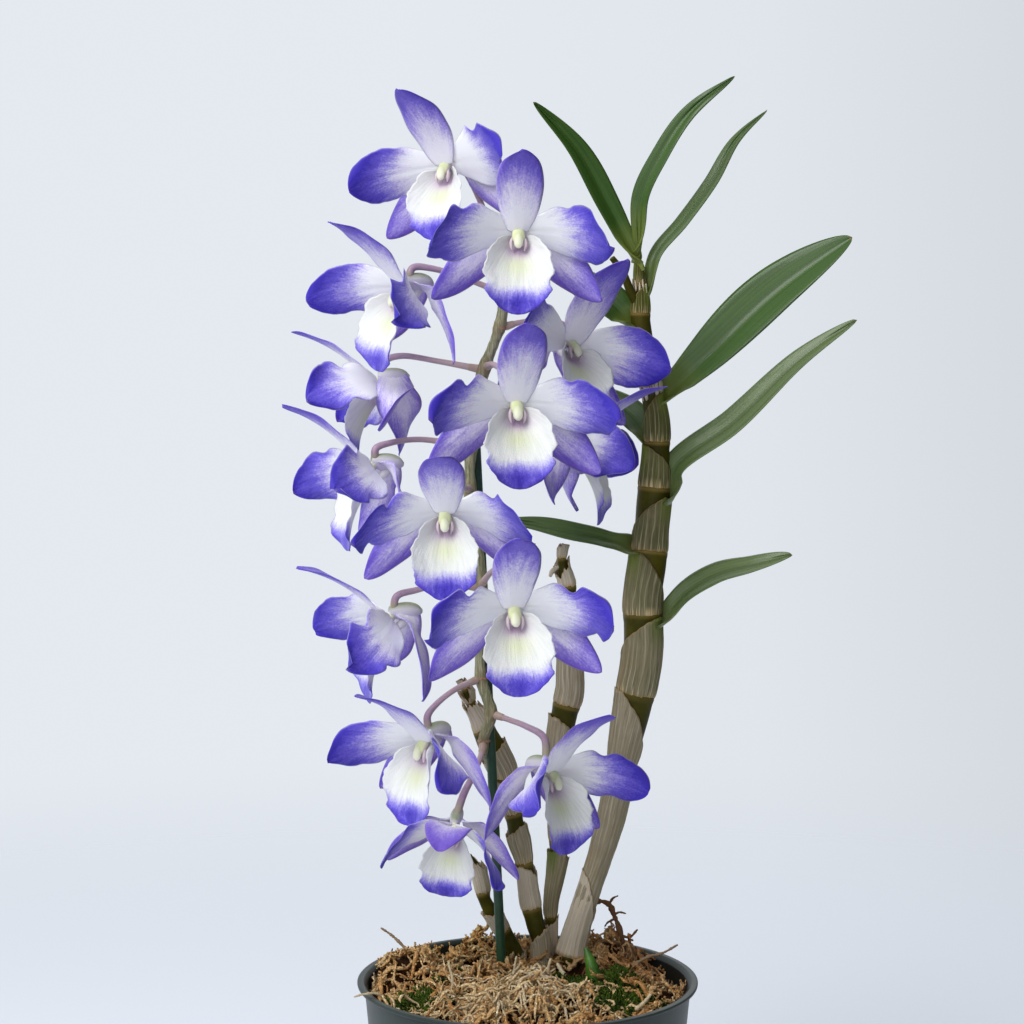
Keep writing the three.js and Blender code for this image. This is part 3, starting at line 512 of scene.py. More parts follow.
class Paint:
    """A material and its nodes, made one call at a time."""

    def __init__(self, name, roughness, specular=0.5, subsurface=0.0, sheen=0.0, coat=0.0):
        self.material = bpy.data.materials.new(name)
        self.material.use_nodes = True
        self.tree = self.material.node_tree
        self.shader = self.tree.nodes["Principled BSDF"]
        settings = {
            "Roughness": roughness, "Specular IOR Level": specular, "Sheen Weight": sheen,
            "Coat Weight": coat, "Subsurface Weight": subsurface, "Subsurface Radius": (1.0, 0.8, 1.1),
            "Subsurface Scale": 0.0015,
        }
        for key, value in settings.items():
            self.shader.inputs[key].default_value = value

    def node(self, kind, *inputs, **settings):
        """A new node. The inputs go to its first sockets."""
        made = self.tree.nodes.new(kind)
        for key, value in settings.items():
            setattr(made, key, value)
        for socket, value in zip(made.inputs, inputs):
            self.feed(socket, value)
        return made

    def feed(self, socket, value):
        """Links an output to the socket, or gives it a number or a screen colour."""
        if isinstance(value, bpy.types.NodeSocket):
            self.tree.links.new(value, socket)
        else:
            socket.default_value = colour(*value) if isinstance(value, tuple) else value

    def value(self, name):
        """A number that the form carries at each point."""
        return self.node("ShaderNodeAttribute", attribute_name=name).outputs["Fac"]

    def place(self):
        """The point's own place, in metres."""
        return self.node("ShaderNodeTexCoord").outputs["Object"]

    def vector(self, x, y, z):
        return self.node("ShaderNodeCombineXYZ", x, y, z).outputs[0]

    def parts(self, vector):
        return self.node("ShaderNodeSeparateXYZ", vector).outputs

    def maths(self, operation, first, second=0.0):
        return self.node("ShaderNodeMath", first, second, operation=operation).outputs[0]

    def times(self, first, second):
        return self.maths("MULTIPLY", first, second)

    def plus(self, first, second):
        return self.maths("ADD", first, second)

    def noise(self, vector, scale, detail, roughness):
        made = self.node("ShaderNodeTexNoise")
        self.feed(made.inputs["Vector"], vector)
        made.inputs["Scale"].default_value = scale
        made.inputs["Detail"].default_value = detail
        made.inputs["Roughness"].default_value = roughness
        return made.outputs["Fac"]

    def grain(self, scale, detail=3.0, roughness=0.55):
        """Noise by the point's own place."""
        return self.noise(self.place(), scale, detail, roughness)

    def veined(self, across, along, detail, roughness, scale=1.0):
        """Noise drawn out along a petal's veins, and different by petal."""
        place = self.vector(self.times(self.value("veins"), across), self.times(self.value("along"), along),
                            self.value("seed"))
        return self.noise(place, scale, detail, roughness)

    def around(self, across, along, detail, roughness=0.55):
        """Noise on a cane's skin, finer round the cane than along it, and different by sheath."""
        drawn_out = self.plus(self.value("seed"), self.times(self.value("length"), along))
        place = self.vector(self.times(self.value("round_x"), across),
                            self.times(self.value("round_y"), across), drawn_out)
        return self.noise(place, 1.0, detail, roughness)

    def swung(self, value, *noises):
        """The value, moved up and down by each (noise, strength)."""
        for noise, strength in noises:
            swing = self.times(self.maths("SUBTRACT", noise, 0.5), strength)
            value = self.plus(value, swing)
        return value

    def ramp(self, factor, *stops):
        """Screen colours by factor. A stop is (place, colour)."""
        made = self.node("ShaderNodeValToRGB", factor)
        ramp = made.color_ramp
        while len(ramp.elements) < len(stops):
            ramp.elements.new(0.5)
        for element, (place, shade) in zip(ramp.elements, stops):
            element.position = place
            element.color = colour(*shade)
        return made.outputs[0]

    def mix(self, factor, first, second, blend="MIX"):
        made = self.node("ShaderNodeMix", factor, data_type="RGBA", blend_type=blend)
        self.feed(made.inputs[6], first)
        self.feed(made.inputs[7], second)
        return made.outputs[2]

    def between(self, value, low, high):
        """0 at low, 1 at high, and smooth between them."""
        return self.node("ShaderNodeMapRange", value, low, high, interpolation_type="SMOOTHSTEP").outputs[0]

    def bump(self, height, distance, strength):
        made = self.node("ShaderNodeBump")
        made.inputs["Strength"].default_value = strength
        made.inputs["Distance"].default_value = distance
        self.feed(made.inputs["Height"], height)
        self.tree.links.new(made.outputs[0], self.shader.inputs["Normal"])

    def base(self, shade):
        self.feed(self.shader.inputs["Base Color"], shade)


def petal_paint():
    """White at the root, violet to the tip, drawn out in fine streaks along the veins."""
    paint = Paint("petal", roughness=0.6, specular=0.25, subsurface=0.22, sheen=0.1)
    streaks = paint.veined(1.0, 2.6, 4.0, 0.65)
    flecks = paint.veined(1.4, 30.0, 3.0, 0.7)
    clouds = paint.veined(0.16, 3.0, 3.0, 0.55, scale=1.5)
    grain = paint.grain(1500.0, 2.0, 0.6)
    depth = paint.swung(paint.value("blush"), (streaks, 0.26), (flecks, 0.3), (clouds, 0.36), (grain, 0.2))
    shade = paint.ramp(depth, (0.24, (245, 245, 248)), (0.41, (222, 219, 240)), (0.55, (166, 156, 222)),
                       (0.72, (104, 90, 200)), (0.98, (58, 44, 168)))
    shade = paint.mix(paint.value("mauve"), shade, (150, 108, 186))
    edge = paint.between(paint.maths("ABSOLUTE", paint.value("aside")), 0.95, 1.0)
    paint.base(paint.mix(paint.times(edge, 0.45), shade, (204, 196, 232)))
    paint.bump(paint.plus(streaks, paint.times(flecks, 0.6)), 0.0002, 0.55)
    return paint.material


def lip_paint():
    """White and downy, yellow green in the throat, with a violet band at the tip."""
    paint = Paint("lip", roughness=0.75, specular=0.2, subsurface=0.25, sheen=0.25)
    streaks = paint.veined(0.7, 4.0, 4.0, 0.62)
    flecks = paint.veined(1.3, 24.0, 3.0, 0.7)
    grain = paint.grain(1500.0, 2.0, 0.6)
    band = paint.swung(paint.value("blush"), (streaks, 0.3), (flecks, 0.3), (grain, 0.2))
    shade = paint.ramp(band, (0.24, (229, 230, 227)), (0.4, (206, 204, 230)), (0.58, (144, 134, 216)),
                       (0.78, (92, 78, 196)), (1.0, (62, 46, 170)))
    # Painted shade in the lip's fine folds, drawn along its veins.
    fold_shade = paint.times(paint.between(streaks, 0.42, 0.66), 0.2)
    shade = paint.mix(fold_shade, shade, (206, 210, 208), "MULTIPLY")
    shade = paint.mix(paint.value("glow"), shade, (204, 212, 160))
    paint.base(paint.mix(paint.value("throat"), shade, (176, 138, 184)))
    down = paint.grain(2600.0, 2.0)
    paint.bump(paint.plus(streaks, paint.times(down, 0.4)), 0.0004, 0.7)
    return paint.material


def column_paint():
    """Yellow green on top, creamy at the cap and mauve at the sides and below."""
    paint = Paint("column", roughness=0.5, specular=0.3, subsurface=0.2)
    grain = paint.grain(900.0, 3.0)
    shade = paint.mix(paint.value("cream"), (206, 214, 160), (228, 229, 206))
    shade = paint.mix(paint.value("mauve"), shade, (172, 130, 178))
    paint.base(paint.mix(paint.times(grain, 0.2), shade, (226, 222, 200)))
    paint.bump(grain, 0.0001, 0.5)
    return paint.material


def stalk_paint():
    """Pale mauve stalk, green towards the flower, brown and papery at its foot."""
    paint = Paint("stalk", roughness=0.42, specular=0.4, subsurface=0.1)
    streaks = paint.grain(700.0, 4.0)
    shade = paint.ramp(paint.value("along"), (0.0, (164, 136, 108)), (0.09, (178, 150, 146)),
                       (0.5, (166, 134, 158)), (0.8, (146, 112, 142)), (0.92, (146, 140, 102)))
    paint.base(paint.mix(paint.times(streaks, 0.45), shade, (200, 186, 186)))
    paint.bump(streaks, 0.0001, 0.5)
    return paint.material


def chin_paint():
    """The chin behind the lip: pale mauve, with a green top."""
    paint = Paint("chin", roughness=0.5, specular=0.3, subsurface=0.2)
    grain = paint.grain(500.0, 4.0)
    shade = paint.ramp(paint.value("top"), (0.3, (206, 198, 222)), (0.7, (196, 196, 194)),
                       (0.95, (128, 142, 84)))
    paint.base(paint.mix(paint.times(grain, 0.35), shade, (222, 216, 228)))
    paint.bump(grain, 0.0001, 0.5)
    return paint.material


# ---------------------------------------------------------------- blooms

FACE = (0, 0, 1)
# How far the waves of the margins move on from one bloom to the next.
PETAL_PHASE = 2.4
LIP_PHASE = 1.7
# Faces of each blade: along and across.
PETAL_GRID = (46, 22)
SEPAL_GRID = (34, 12)
LIP_GRID = (44, 40)
LEAF_GRID = (72, 18)


def petal_margin(s, upper, wave, depth):
    """How far the margin swells or draws in: a notch between two lobes, and small scallops."""
    notch = np.where(upper, 0.52, 0.68) + 0.04 * math.sin(1.3 * wave)
    depth = np.where(upper, depth, 0.6 * depth)
    swell = 0.3 * depth * (bell(s, notch - 0.16, 0.08) + bell(s, notch + 0.14, 0.07))
    scallops = 0.02 * s * np.sin(31 * s + 3 * wave) + 0.012 * s * np.sin(67 * s + wave)
    return 1 - depth * bell(s, notch, 0.06) + swell + scallops


def petal_surface(side, wave, depth, curl, forward, broad):
    spine = Arch((0.6 * side, -3, 2.4), ((13 - 2 * forward) * side, -2.5, 4.5 + 2 * forward),
                 ((24 - 6 * forward) * side, 1, 13 + 5 * forward),
                 ((30 - 12 * forward) * side, 1.5, 25 + 8 * forward))

    def profile(s, t):
        half = outline(0.08 + 0.92 * s, PETAL_HALF_WIDTH * broad, 1.4, 0.64)
        upper = side * t > 0
        share = 1 + (petal_margin(s, upper, wave, depth) - 1) * np.abs(t) ** 1.5
        ruffle = 1.6 * s * np.abs(t) ** 3 * np.sin(9 * s + wave + 2 * np.sign(t))
        fine = 0.6 * s * np.abs(t) ** 4 * np.sin(23 * s + 2 * wave + np.sign(t))
        groove = -0.25 * bell(t, 0, 0.07) * (1 - s)
        pleats = 0.1 * np.sin(15 * t + wave) * s * (1 - t * t)
        lift = curl * (ruffle + fine) + groove + pleats - 0.12 * half * t * t
        return half * t * share, lift

    return strip(spine, FACE, profile)


def sepal_profile(half_width, root, peak, roundness, ripples, wave):
    """A sepal's half width and its lift: cupped, wavy and grooved along its middle."""

    def profile(s, t):
        half = outline(root + (1 - root) * s, half_width, peak, roundness)
        wavy = 0.5 * t * np.sin(5 * s + wave) + 0.3 * np.abs(t) ** 4 * np.sin(ripples * s + 2 * wave)
        return half * t, 0.18 * half * (1 - np.sqrt(t * t + 0.02)) + wavy - 0.25 * bell(t, 0, 0.07)

    return profile


def dorsal_surface(wave, hood):
    spine = Arch((0, -2.4, 4.2), (0, 9, 3.6), (0, 24 - 4 * hood, 8 + 5 * hood),
                 (0, 33 - 10 * hood, 18 + 9 * hood))
    profile = sepal_profile(DORSAL_HALF_WIDTH * (1 + 0.25 * hood), 0.1, 1.12, 0.57, 17, wave)
    return strip(spine, FACE, profile)


def lateral_surface(side, wave, twisted):
    """A side sepal. Its broad root runs down the chin."""
    facing, settle = ((0, -0.9, -0.42), (0.15, 0.7)) if twisted else (FACE, (0, 0.2))
    spine = Arch((1.5 * side, -4, -3.4), (11 * side, -12, -1.4), (21 * side, -20, 4), (29 * side, -24, 13))
    profile = sepal_profile(LATERAL_HALF_WIDTH, 0.2, 1.1, 0.64, 15, wave)
    return strip(spine, facing, profile, (-0.8 * side, -0.5, 0.55), settle)


def lip_width(s):
    """Broad, with a slight waist above its spreading tip."""
    waist = 1 - 0.085 * bell(s, 0.65, 0.06) + 0.06 * bell(s, 0.82, 0.08)
    return outline(s, LIP_HALF_WIDTH, 1.1, 0.54) * waist


def lip_surface(wave):
    """Rolled round the column at its root, and open to a frilled scoop."""
    spine = Arch((0, -7.2, 1.5), (0, -9, 11.5), (0, -13.2, 21.5), (0, -23, 26))

    def profile(s, t):
        roll = 0.45 + 1.6 * (1 - np.clip(s, 0, 1)) ** 2
        teeth = 0.034 * np.sin(33 * s + wave) + 0.022 * np.sin(73 * s + 2 * wave)
        radius = (1.06 + np.abs(t) ** 6 * teeth) * lip_width(s) / roll
        lobes = 1.6 * t**4 * bell(s, 0.24, 0.13)
        frill = 1.2 * s * t**4 * np.sin(15 * s + wave)
        crimps = 0.4 * s * np.abs(t) ** 5 * np.sin(41 * s + 2 * wave)
        pleats = 0.07 * np.cos(17 * t + 0.5 * wave) * bell(s, 0.5, 0.3)
        keel = 0.5 * bell(t, 0, 0.1) * np.clip(1 - 1.6 * s, 0, 1)
        lift = radius * (1 - np.cos(roll * t)) + lobes + frill + crimps + pleats + keel
        return radius * np.sin(roll * t), lift

    return strip(spine, (0, 1, 0.5), profile)


def bloom_frame(at, turn, nod, roll, size):
    """Turns points in a bloom (x right, y to the top sepal, z out of its face) into the part's frame."""
    a, e, w = math.radians(turn), math.radians(-nod), math.radians(roll)
    face = np.array([math.sin(a) * math.cos(e), -math.cos(a) * math.cos(e), math.sin(e)])
    upright = unit(np.array([0, 0, 1]) - face * face[2])
    top = upright * math.cos(w) + np.cross(upright, face) * math.sin(w)
    axes = np.stack([np.cross(top, face), top, face]) * size
    return lambda points: np.asarray(points, float) @ axes + np.array(at, float)


def placed(surface, frame):
    """A bloom's surface in the part's frame."""
    return lambda s, t: frame(surface(s, t))


def tinted(half_width, length, seed, blush, mauve=None):
    """Values that a petal's paint reads: its own coordinates, its veins and how violet it is."""

    def values(s, t):
        spread = outline(0.1 + 0.9 * s, half_width, 1.2, 0.6) * t / (0.12 * length + length * s)
        return {"veins": 42 * spread, "along": s, "aside": t, "seed": seed, "blush": blush(s, t),
                "mauve": mauve(s, t) if mauve else 0.0}

    return values


def add_side(form, number, frame, side):
    """The petal and the side sepal at one side of a bloom: -1 left, 1 right."""
    index = number - 1
    wave = PETAL_PHASE * index + side
    notch, curl, pale, forward = PETAL_STYLES[index][side > 0]

    def petal_blush(s, t):
        margin = np.where(side * t > 0, 0.34, 0.2) * t * t * np.clip(2.4 * s - 0.2, 0, 1)
        return 1.24 * (s - 0.17) + margin - pale * (1.4 - s)

    def lateral_blush(s, t):
        return 0.16 + 0.5 * s + 0.3 * t * t + 0.2 * np.clip(-side * t, 0, 1) * (1 - s)

    def lateral_mauve(s, t):
        return 0.16 + 0.3 * np.clip(-side * t, 0, 1) * np.clip(3 * s, 0, 1) * (1 - 0.5 * s)

    petal = petal_surface(side, wave, notch, curl, forward, BROAD.get((number, side), 1.0))
    blade(form, placed(petal, frame), *PETAL_GRID, PETAL_THICKNESS,
          tinted(11, 34, 7.3 * index + side, petal_blush))
    lateral = lateral_surface(side, wave, number in TWISTED)
    blade(form, placed(lateral, frame), *SEPAL_GRID, PETAL_THICKNESS,
          tinted(7, 38, 5.1 * index + 2 * side, lateral_blush, lateral_mauve))


def bloom(number, flower):
    """Everything of a bloom but its lip."""
    *pose, stalk = flower
    frame = bloom_frame(*pose)
    form = Form()
    for side in (-1, 1):
        add_side(form, number, frame, side)
    index, hood = number - 1, HOODED.get(number, 0)
    blade(form, placed(dorsal_surface(PETAL_PHASE * index, hood), frame), *SEPAL_GRID, PETAL_THICKNESS,
          tinted(7, 38, 3.7 * index, lambda s, t: 0.02 + 0.84 * s + 0.24 * t * t,
                 lambda s, t: 0.12 + 0.2 * hood))
    add_column(form, frame)
    add_stalk(form, frame, stalk)
    add_piece(f"flower_{number:02d}", form, [PETAL, COLUMN, CHIN, STALK], [f"bloom_{number:02d}"])


def add_round(form, frame, line, radii, spacing, sides, wide, slot, shades):
    """A rounded body along a line in a bloom, wider from side to side. shades(share, ring) gives values."""
    centres, radii = rounded(line, radii, spacing)
    ahead = unit(np.gradient(centres, axis=0))
    across = np.broadcast_to([1.0, 0.0, 0.0], ahead.shape)
    ring = circle(wide * across, np.cross(ahead, across), sides)
    points = frame(centres[:, None] + ring * radii[:, None, None])
    share = np.broadcast_to(np.linspace(0, 1, len(centres))[:, None], points.shape[:2])
    ends = points[0].mean(axis=0), points[-1].mean(axis=0)
    add_rings(form, points, ends, slot, **shades(share, ring))


def add_column(form, frame):
    """The column with its cap and its two wings, and the chin behind it."""

    def column_shades(share, ring):
        return {"mauve": np.clip(0.45 - ring[..., 1], 0, 1) ** 0.5 * np.clip(2 * share, 0, 1) * 0.75,
                "cream": np.clip(1 - 1.6 * share, 0, 1)}

    def cap_shades(share, ring):
        return {"mauve": 0.3 * np.clip(-1.6 * ring[..., 1] - 0.7, 0, 1), "cream": np.clip(1.4 * share, 0, 1)}

    def wing_shades(share, ring):
        return {"mauve": 0.6, "cream": 1.0}

    def chin_shades(share, ring):
        return {"top": np.clip(0.5 + 0.5 * (ring @ np.array([0, 0.75, -0.66])), 0, 1)}

    column = [(0, -2, 0), (0, -2.6, 2.2), (0, -3.2, 5.4), (0, -3.9, 7.6), (0, -4.6, 9)]
    add_round(form, frame, column, [1.3, 1.7, 1.85, 1.8, 1.0], 0.5, 20, 1.2, 1, column_shades)
    cap = [(0, -2.3, 6.4), (0, -2.9, 7.6), (0, -3.9, 9.1), (0, -5, 10.2), (0, -5.6, 10.7)]
    add_round(form, frame, cap, [0.6, 1.2, 1.4, 1.15, 0.5], 0.4, 18, 1.15, 1, cap_shades)
    for side in (-1, 1):
        wing = [(1.7 * side, -3.4, 5.6), (2.4 * side, -4.6, 7.8), (2.4 * side, -5.8, 9.2),
                (2 * side, -7, 10)]
        add_round(form, frame, wing, [0.4, 0.85, 0.75, 0.25], 0.5, 12, 0.7, 1, wing_shades)
    chin = [(0, -1, 1.4), (0, -3, -1.6), (0, -5.2, -4.6), (0, -7, -6.7), (0, -8.2, -8)]
    add_round(form, frame, chin, [2, 3, 3.1, 2.3, 0.8], 0.6, 24, 0.85, 2, chin_shades)


def add_stalk(form, frame, stalk):
    """The stalk, from a small papery bract on its cane to the back of the flower."""
    points = [*stalk, frame([(0, -1.5, 0)])[0]]
    centres, radii = rounded(points, [1.35, 1.05, 1.15, 1.35, 1.5], 0.8)
    tube(form, centres, radii, 12, 3, along=np.linspace(0, 1, len(centres)))
    start = np.array(stalk[0], float)
    step = unit(centres[3] - centres[0])
    bract = start + np.outer(np.linspace(1.2, 6, 9), step)
    tube(form, bract, [0.6, 1.35, 1.55, 1.5, 1.45, 1.4, 1.35, 1.3, 0.9], 12, 3, along=0.02)


def lip(number, flower):
    """A bloom's lip, with the claw that holds it to the chin."""
    *pose, _ = flower
    frame = bloom_frame(*pose)
    wave = LIP_PHASE * (number - 1)

    def values(s, t):
        centre = bell(t, 0, 0.42)
        band = np.clip((s - 0.6) / 0.26, 0, 1) * (0.68 + 0.26 * centre)
        margin = 0.3 * t**4 * np.clip((s - 0.3) / 0.3, 0, 1)
        return {
            "veins": 34 * (lip_width(s) * t) / (4 + 32 * s), "along": s, "seed": wave,
            "blush": band + margin,
            "glow": 0.7 * centre * bell(s, 0.42, 0.17),
            "throat": 0.8 * bell(t, 0, 0.5) * bell(s, 0.2, 0.12),
        }

    form = Form()
    blade(form, placed(lip_surface(wave), frame), *LIP_GRID, LIP_THICKNESS, values)
    claw = frame([(0, -6.4, -3), (0, -6.9, -1), (0, -7.2, 1.5), (0, -7.7, 3.5)])
    size = pose[-1]
    tube(form, claw, size * np.array([1.2, 1.6, 1.5, 0.7]), throat=0.2, along=0.1)
    add_piece(f"lip_petal_{number:02d}", form, [LIP], [f"lip_{number:02d}"])


# ---------------------------------------------------------------- canes and leaves

SHEATH_WALL = 0.35
LOOSE_FOOT = 109  # the height of the one sheath whose lower edge has come away
YOUNG_FOOT = (112, 124, 50)  # where a leaf grows out of its sheath
OLD_FOOT = (96, 108, 66)
CANE_SIDES = 36
SHEATH_SIDES = 72
CLASP = 4  # how far down the cane a leaf's foot runs
WORN = {"age": 1.0, "mouth": 9.0, "above_foot": 9.0}  # what the sheath's paint reads on its torn strips


def skin(route, stops, angle, radius):
    """Points round a route, at an angle that starts at +X and turns towards +Y."""
    middle = route.at(stops)[..., :3]
    ahead = route.ahead(stops)
    across = unit(np.cross([0.0, 1.0, 0.0], ahead))
    beside = np.cross(ahead, across)
    radius = np.asarray(radius)[..., None]
    return middle + radius * (across * np.cos(angle)[..., None] + beside * np.sin(angle)[..., None])


def wavering(angle, seed, counts, strengths):
    """A ragged value round a mouth or along a line: a sum of waves with fixed phases."""
    return sum(strength * np.sin(count * angle + seed * (1.7 + 0.6 * count)) for count, strength in
               zip(counts, strengths))


def add_sheath(form, route, sheath, seed):
    """A papery sheath: a thin shell from its foot to a slanted, toothed mouth."""
    foot, low, high, leaf_side, age, *fray = sheath
    fray = sum(fray)
    rows = max(12, int((high - foot) / 1.5))
    angle = np.broadcast_to(turns(SHEATH_SIDES), (rows + 1, SHEATH_SIDES))
    leafward = (1 + np.cos(angle - TURN * leaf_side)) / 2
    slant = np.clip(1.06 * (leafward + 0.001) ** 0.42, 0, 1)
    teeth = wavering(angle, seed, (3, 7, 17), (0.5, 0.4, 0.3)) * (0.3 + 0.3 * age + 1.6 * fray)
    mouth = low + (high - low) * slant + teeth
    v = np.linspace(0, 1, rows + 1)[:, None]
    height = foot + v * (mouth - foot)
    stops = route.stop_at_height(height)
    size = route.at(stops)[..., 3]
    flare = (0.1 + 0.35 * age + fray) * np.exp(-(mouth - height) / (1.6 + 2 * fray))
    ridges = wavering(angle, seed + 1, (5, 11, 23), (0.6, 0.5, 0.5)) * (0.04 + 0.1 * age)
    wrinkles = ridges + 0.1 * age * wavering(height, seed, (0.7, 1.9), (0.5, 0.3))
    tuck = (-0.4 if foot == LOOSE_FOOT else SHEATH_STEP - 0.1) * np.exp(-(height - foot) / 1.2)
    outer = size + flare + wrinkles - tuck
    outside = skin(route, stops, angle, outer)
    lining = np.concatenate([np.linspace(1, 0, 4)[1:], np.zeros(9)])[:, None]
    lip_height = np.maximum(mouth[0] - np.linspace(0, 4, 4)[1:, None], foot)
    down = np.linspace(0, 1, 10)[1:, None]
    inner_height = np.concatenate([lip_height, lip_height[-1] * (1 - down) + foot * down])
    inner_stops = route.stop_at_height(inner_height)
    inner_size = route.at(inner_stops)[..., 3]
    inner_radius = lining * (outer[-1] - inner_size) + inner_size - SHEATH_WALL
    inner_radius[2:] = inner_size[2:] - 1.5 * SHEATH_STEP
    inside = skin(route, inner_stops, angle[:len(lining)], inner_radius)
    points = np.concatenate([outside, inside])
    around = np.broadcast_to(angle[:1], points.shape[:2])
    joined = np.clip((leafward[:1] - 0.72) / 0.2, 0, 1) * (age < 0.7)
    form.add(points, looped_faces(points), 1,
             round_x=np.cos(around), round_y=np.sin(around), age=age, seed=seed,
             mouth=np.concatenate([mouth - height, mouth[:1] - inner_height]),
             length=np.concatenate([height, inner_height]),
             above_foot=np.concatenate([height - foot, np.full(inside.shape[:2], 30.0)]),
             joined=np.broadcast_to(joined, points.shape[:2]),
             inside=np.concatenate([np.zeros(outside.shape[:2]), np.ones(inside.shape[:2])]))


def add_fibres(form, route, low, high, count, seed):
    """Torn pale strips that stand on a cane where a sheath has worn away."""
    random = np.random.default_rng(seed)
    for _ in range(count):
        angle = random.uniform(0.4, 1.0) * TURN
        foot, tip = low + random.uniform(-1, 1), high + random.uniform(-3, 0.5)
        height = np.linspace(foot, tip, 5)
        stops = route.stop_at_height(height)
        stand = route.at(stops)[:, 3] - SHEATH_STEP + np.array([0.1, 0.3, 0.4, 0.6, 1.0])
        path = skin(route, stops, angle + 0.02 * np.arange(5), stand)
        tube(form, path, [0.3, 0.5, 0.45, 0.4, 0.1], 5, 1, seed=seed, round_x=math.cos(angle),
             round_y=math.sin(angle), length=height, **WORN)


def add_cane(form, route, nodes):
    """A cane's own stem: thicker at its nodes, and rounded off at its top."""
    stops = np.linspace(0, 1, int(route.length(300) / 1.1))
    line = route.at(stops)
    height = line[:, 2]
    knots = sum(0.35 * bell(height, node, 1.3) for node in nodes)
    ring = sum(bell(height, node, 0.55) for node in nodes)
    radius = np.maximum(line[:, 3] - SHEATH_STEP + knots, 0.25)
    angle = np.broadcast_to(turns(CANE_SIDES), (len(stops), CANE_SIDES))
    body = skin(route, stops[:, None], angle, radius[:, None])
    add_rings(form, body, line[[0, -1], :3], round_x=np.cos(angle), round_y=np.sin(angle), length=height,
              node=np.clip(ring, 0, 1))


def cane(name):
    route = Route(CANES[name]["stations"])
    form = Form()
    nodes = [sheath[0] for sheath in CANES[name]["sheaths"]]
    add_cane(form, route, nodes)
    for order, sheath in enumerate(CANES[name]["sheaths"]):
        add_sheath(form, route, sheath, 1.3 * order + len(name))
    if name == "main_cane":
        centres, radii = rounded(MAIN_CANE_STUB, np.linspace(1.9, 1.1, len(MAIN_CANE_STUB)), 0.7)
        tube(form, centres, radii, 16, length=centres[:, 2])
        for strips in FIBRES:
            add_fibres(form, route, *strips)
    if name == "old_cane_middle":
        centres, radii = rounded(MIDDLE_CANE_STUB, [0.5, 1.0, 0.6], 0.7)
        tube(form, centres, radii, 10, 1, length=centres[:, 2], **WORN)
    add_piece(name + "_stem", form, [BARE_CANE, SHEATH], [name])


def flowering_cane():
    """The thin cane that carries the flowers: a knot and a scar at each stalk."""
    form = Form()
    route = Route(FLOWERING_CANE)
    stops = np.linspace(0, 1, 300)
    line = route.at(stops)
    feet = np.array([flower[5][0] for flower in BLOOMS], float)
    away = np.linalg.norm(line[:, None, :3] - feet[None], axis=2).min(axis=1)
    knot = bell(away, 0, 3.2)
    ripple = 0.06 * np.sin(0.9 * line[:, 2]) + 0.05 * np.sin(2.3 * line[:, 2])
    tube(form, line[:, :3], line[:, 3] + 0.35 * knot + ripple, 24, node=knot, length=line[:, 2])
    for foot in feet:
        scar = foot + np.outer([-0.9, -0.4, 0.3, 0.9], [0, 0, 1])
        tube(form, scar, [1.2, 2.35, 2.4, 1.3], 20, 1, length=scar[:, 2])
    add_piece("flowering_stem", form, [FLOWER_CANE, SCAR], ["flowering_cane"])


def clasping(spine, route):
    """The leaf's spine with its foot led down along the cane, and the cane's radius there."""
    foot = np.array(spine[0], float)
    stops = route.stop_at_height(np.array([foot[2] - CLASP, foot[2] + 1]))
    rings = route.at(stops)
    away = unit((np.array(spine[1]) - foot) * [1, 1, 0])
    first = rings[0, :3] + away * (rings[0, 3] - 2.4)
    second = rings[1, :3] + away * (rings[1, 3] + 0.3)
    return [first, second, *spine[1:]], away, rings[0, 3]


def leaf(number, spine, half, faces, tone, peak, route):
    joints = len(spine)
    spine, away, girth = clasping(spine, route)
    start = 1 / joints

    def profile(s, t):
        u = np.clip((s - start) / (1 - start), 0, 1)
        wrap = np.clip(1 - u / 0.16, 0, 1)
        clasp = 0.72 * girth * bell(u, 0, 0.14) * np.clip(s / start, 0.3, 1)
        width = np.sqrt(outline(0.06 + 0.94 * u, half, peak, 0.56) ** 2 + clasp**2)
        fold = 0.36 * width * np.sqrt(t * t + 0.004) * (1 - wrap)
        round_cane = wrap * (girth - np.sqrt(np.maximum(girth**2 - (0.98 * width * t) ** 2, 0)))
        ribs = 0.05 * np.cos(11 * math.pi * t) * (1 - t * t)
        waves = 0.35 * u * np.abs(t) ** 3 * np.sin(13 * s + number + 2 * np.sign(t))
        return width * t, fold + round_cane + ribs + waves

    def values(s, t):
        u = np.clip((s - start) / (1 - start), 0, 1)
        veins = 0.55 * t * (0.3 * half + 0.7 * outline(u, half, peak, 0.56))
        return {"veins": veins, "along": u, "aside": t, "tone": tone,
                "foot": np.clip(1 - u / 0.24, 0, 1)}

    form = Form()
    surface = strip(Route(spine), faces, profile, -away, (start - 0.1, start + 0.12))
    blade(form, surface, *LEAF_GRID, LEAF_THICKNESS, values)
    add_piece(f"leaf_blade_{number}", form, [LEAF], [f"leaf_{number}"])


def cane_paint():
    """Bare cane between two sheaths: glossy olive, darker and browner in clouds."""
    paint = Paint("bare_cane", roughness=0.42, specular=0.12)
    clouds = paint.grain(90.0, 5.0, 0.6)
    streaks = paint.around(9.0, 0.12, 4.0)
    shade = paint.ramp(clouds, (0.3, (40, 44, 4)), (0.5, (60, 62, 6)), (0.72, (86, 80, 16)))
    shade = paint.mix(paint.times(streaks, 0.4), shade, (70, 54, 22))
    paint.base(paint.mix(paint.times(paint.value("node"), 0.8), shade, (138, 116, 60)))
    paint.bump(streaks, 0.0002, 0.5)
    return paint.material


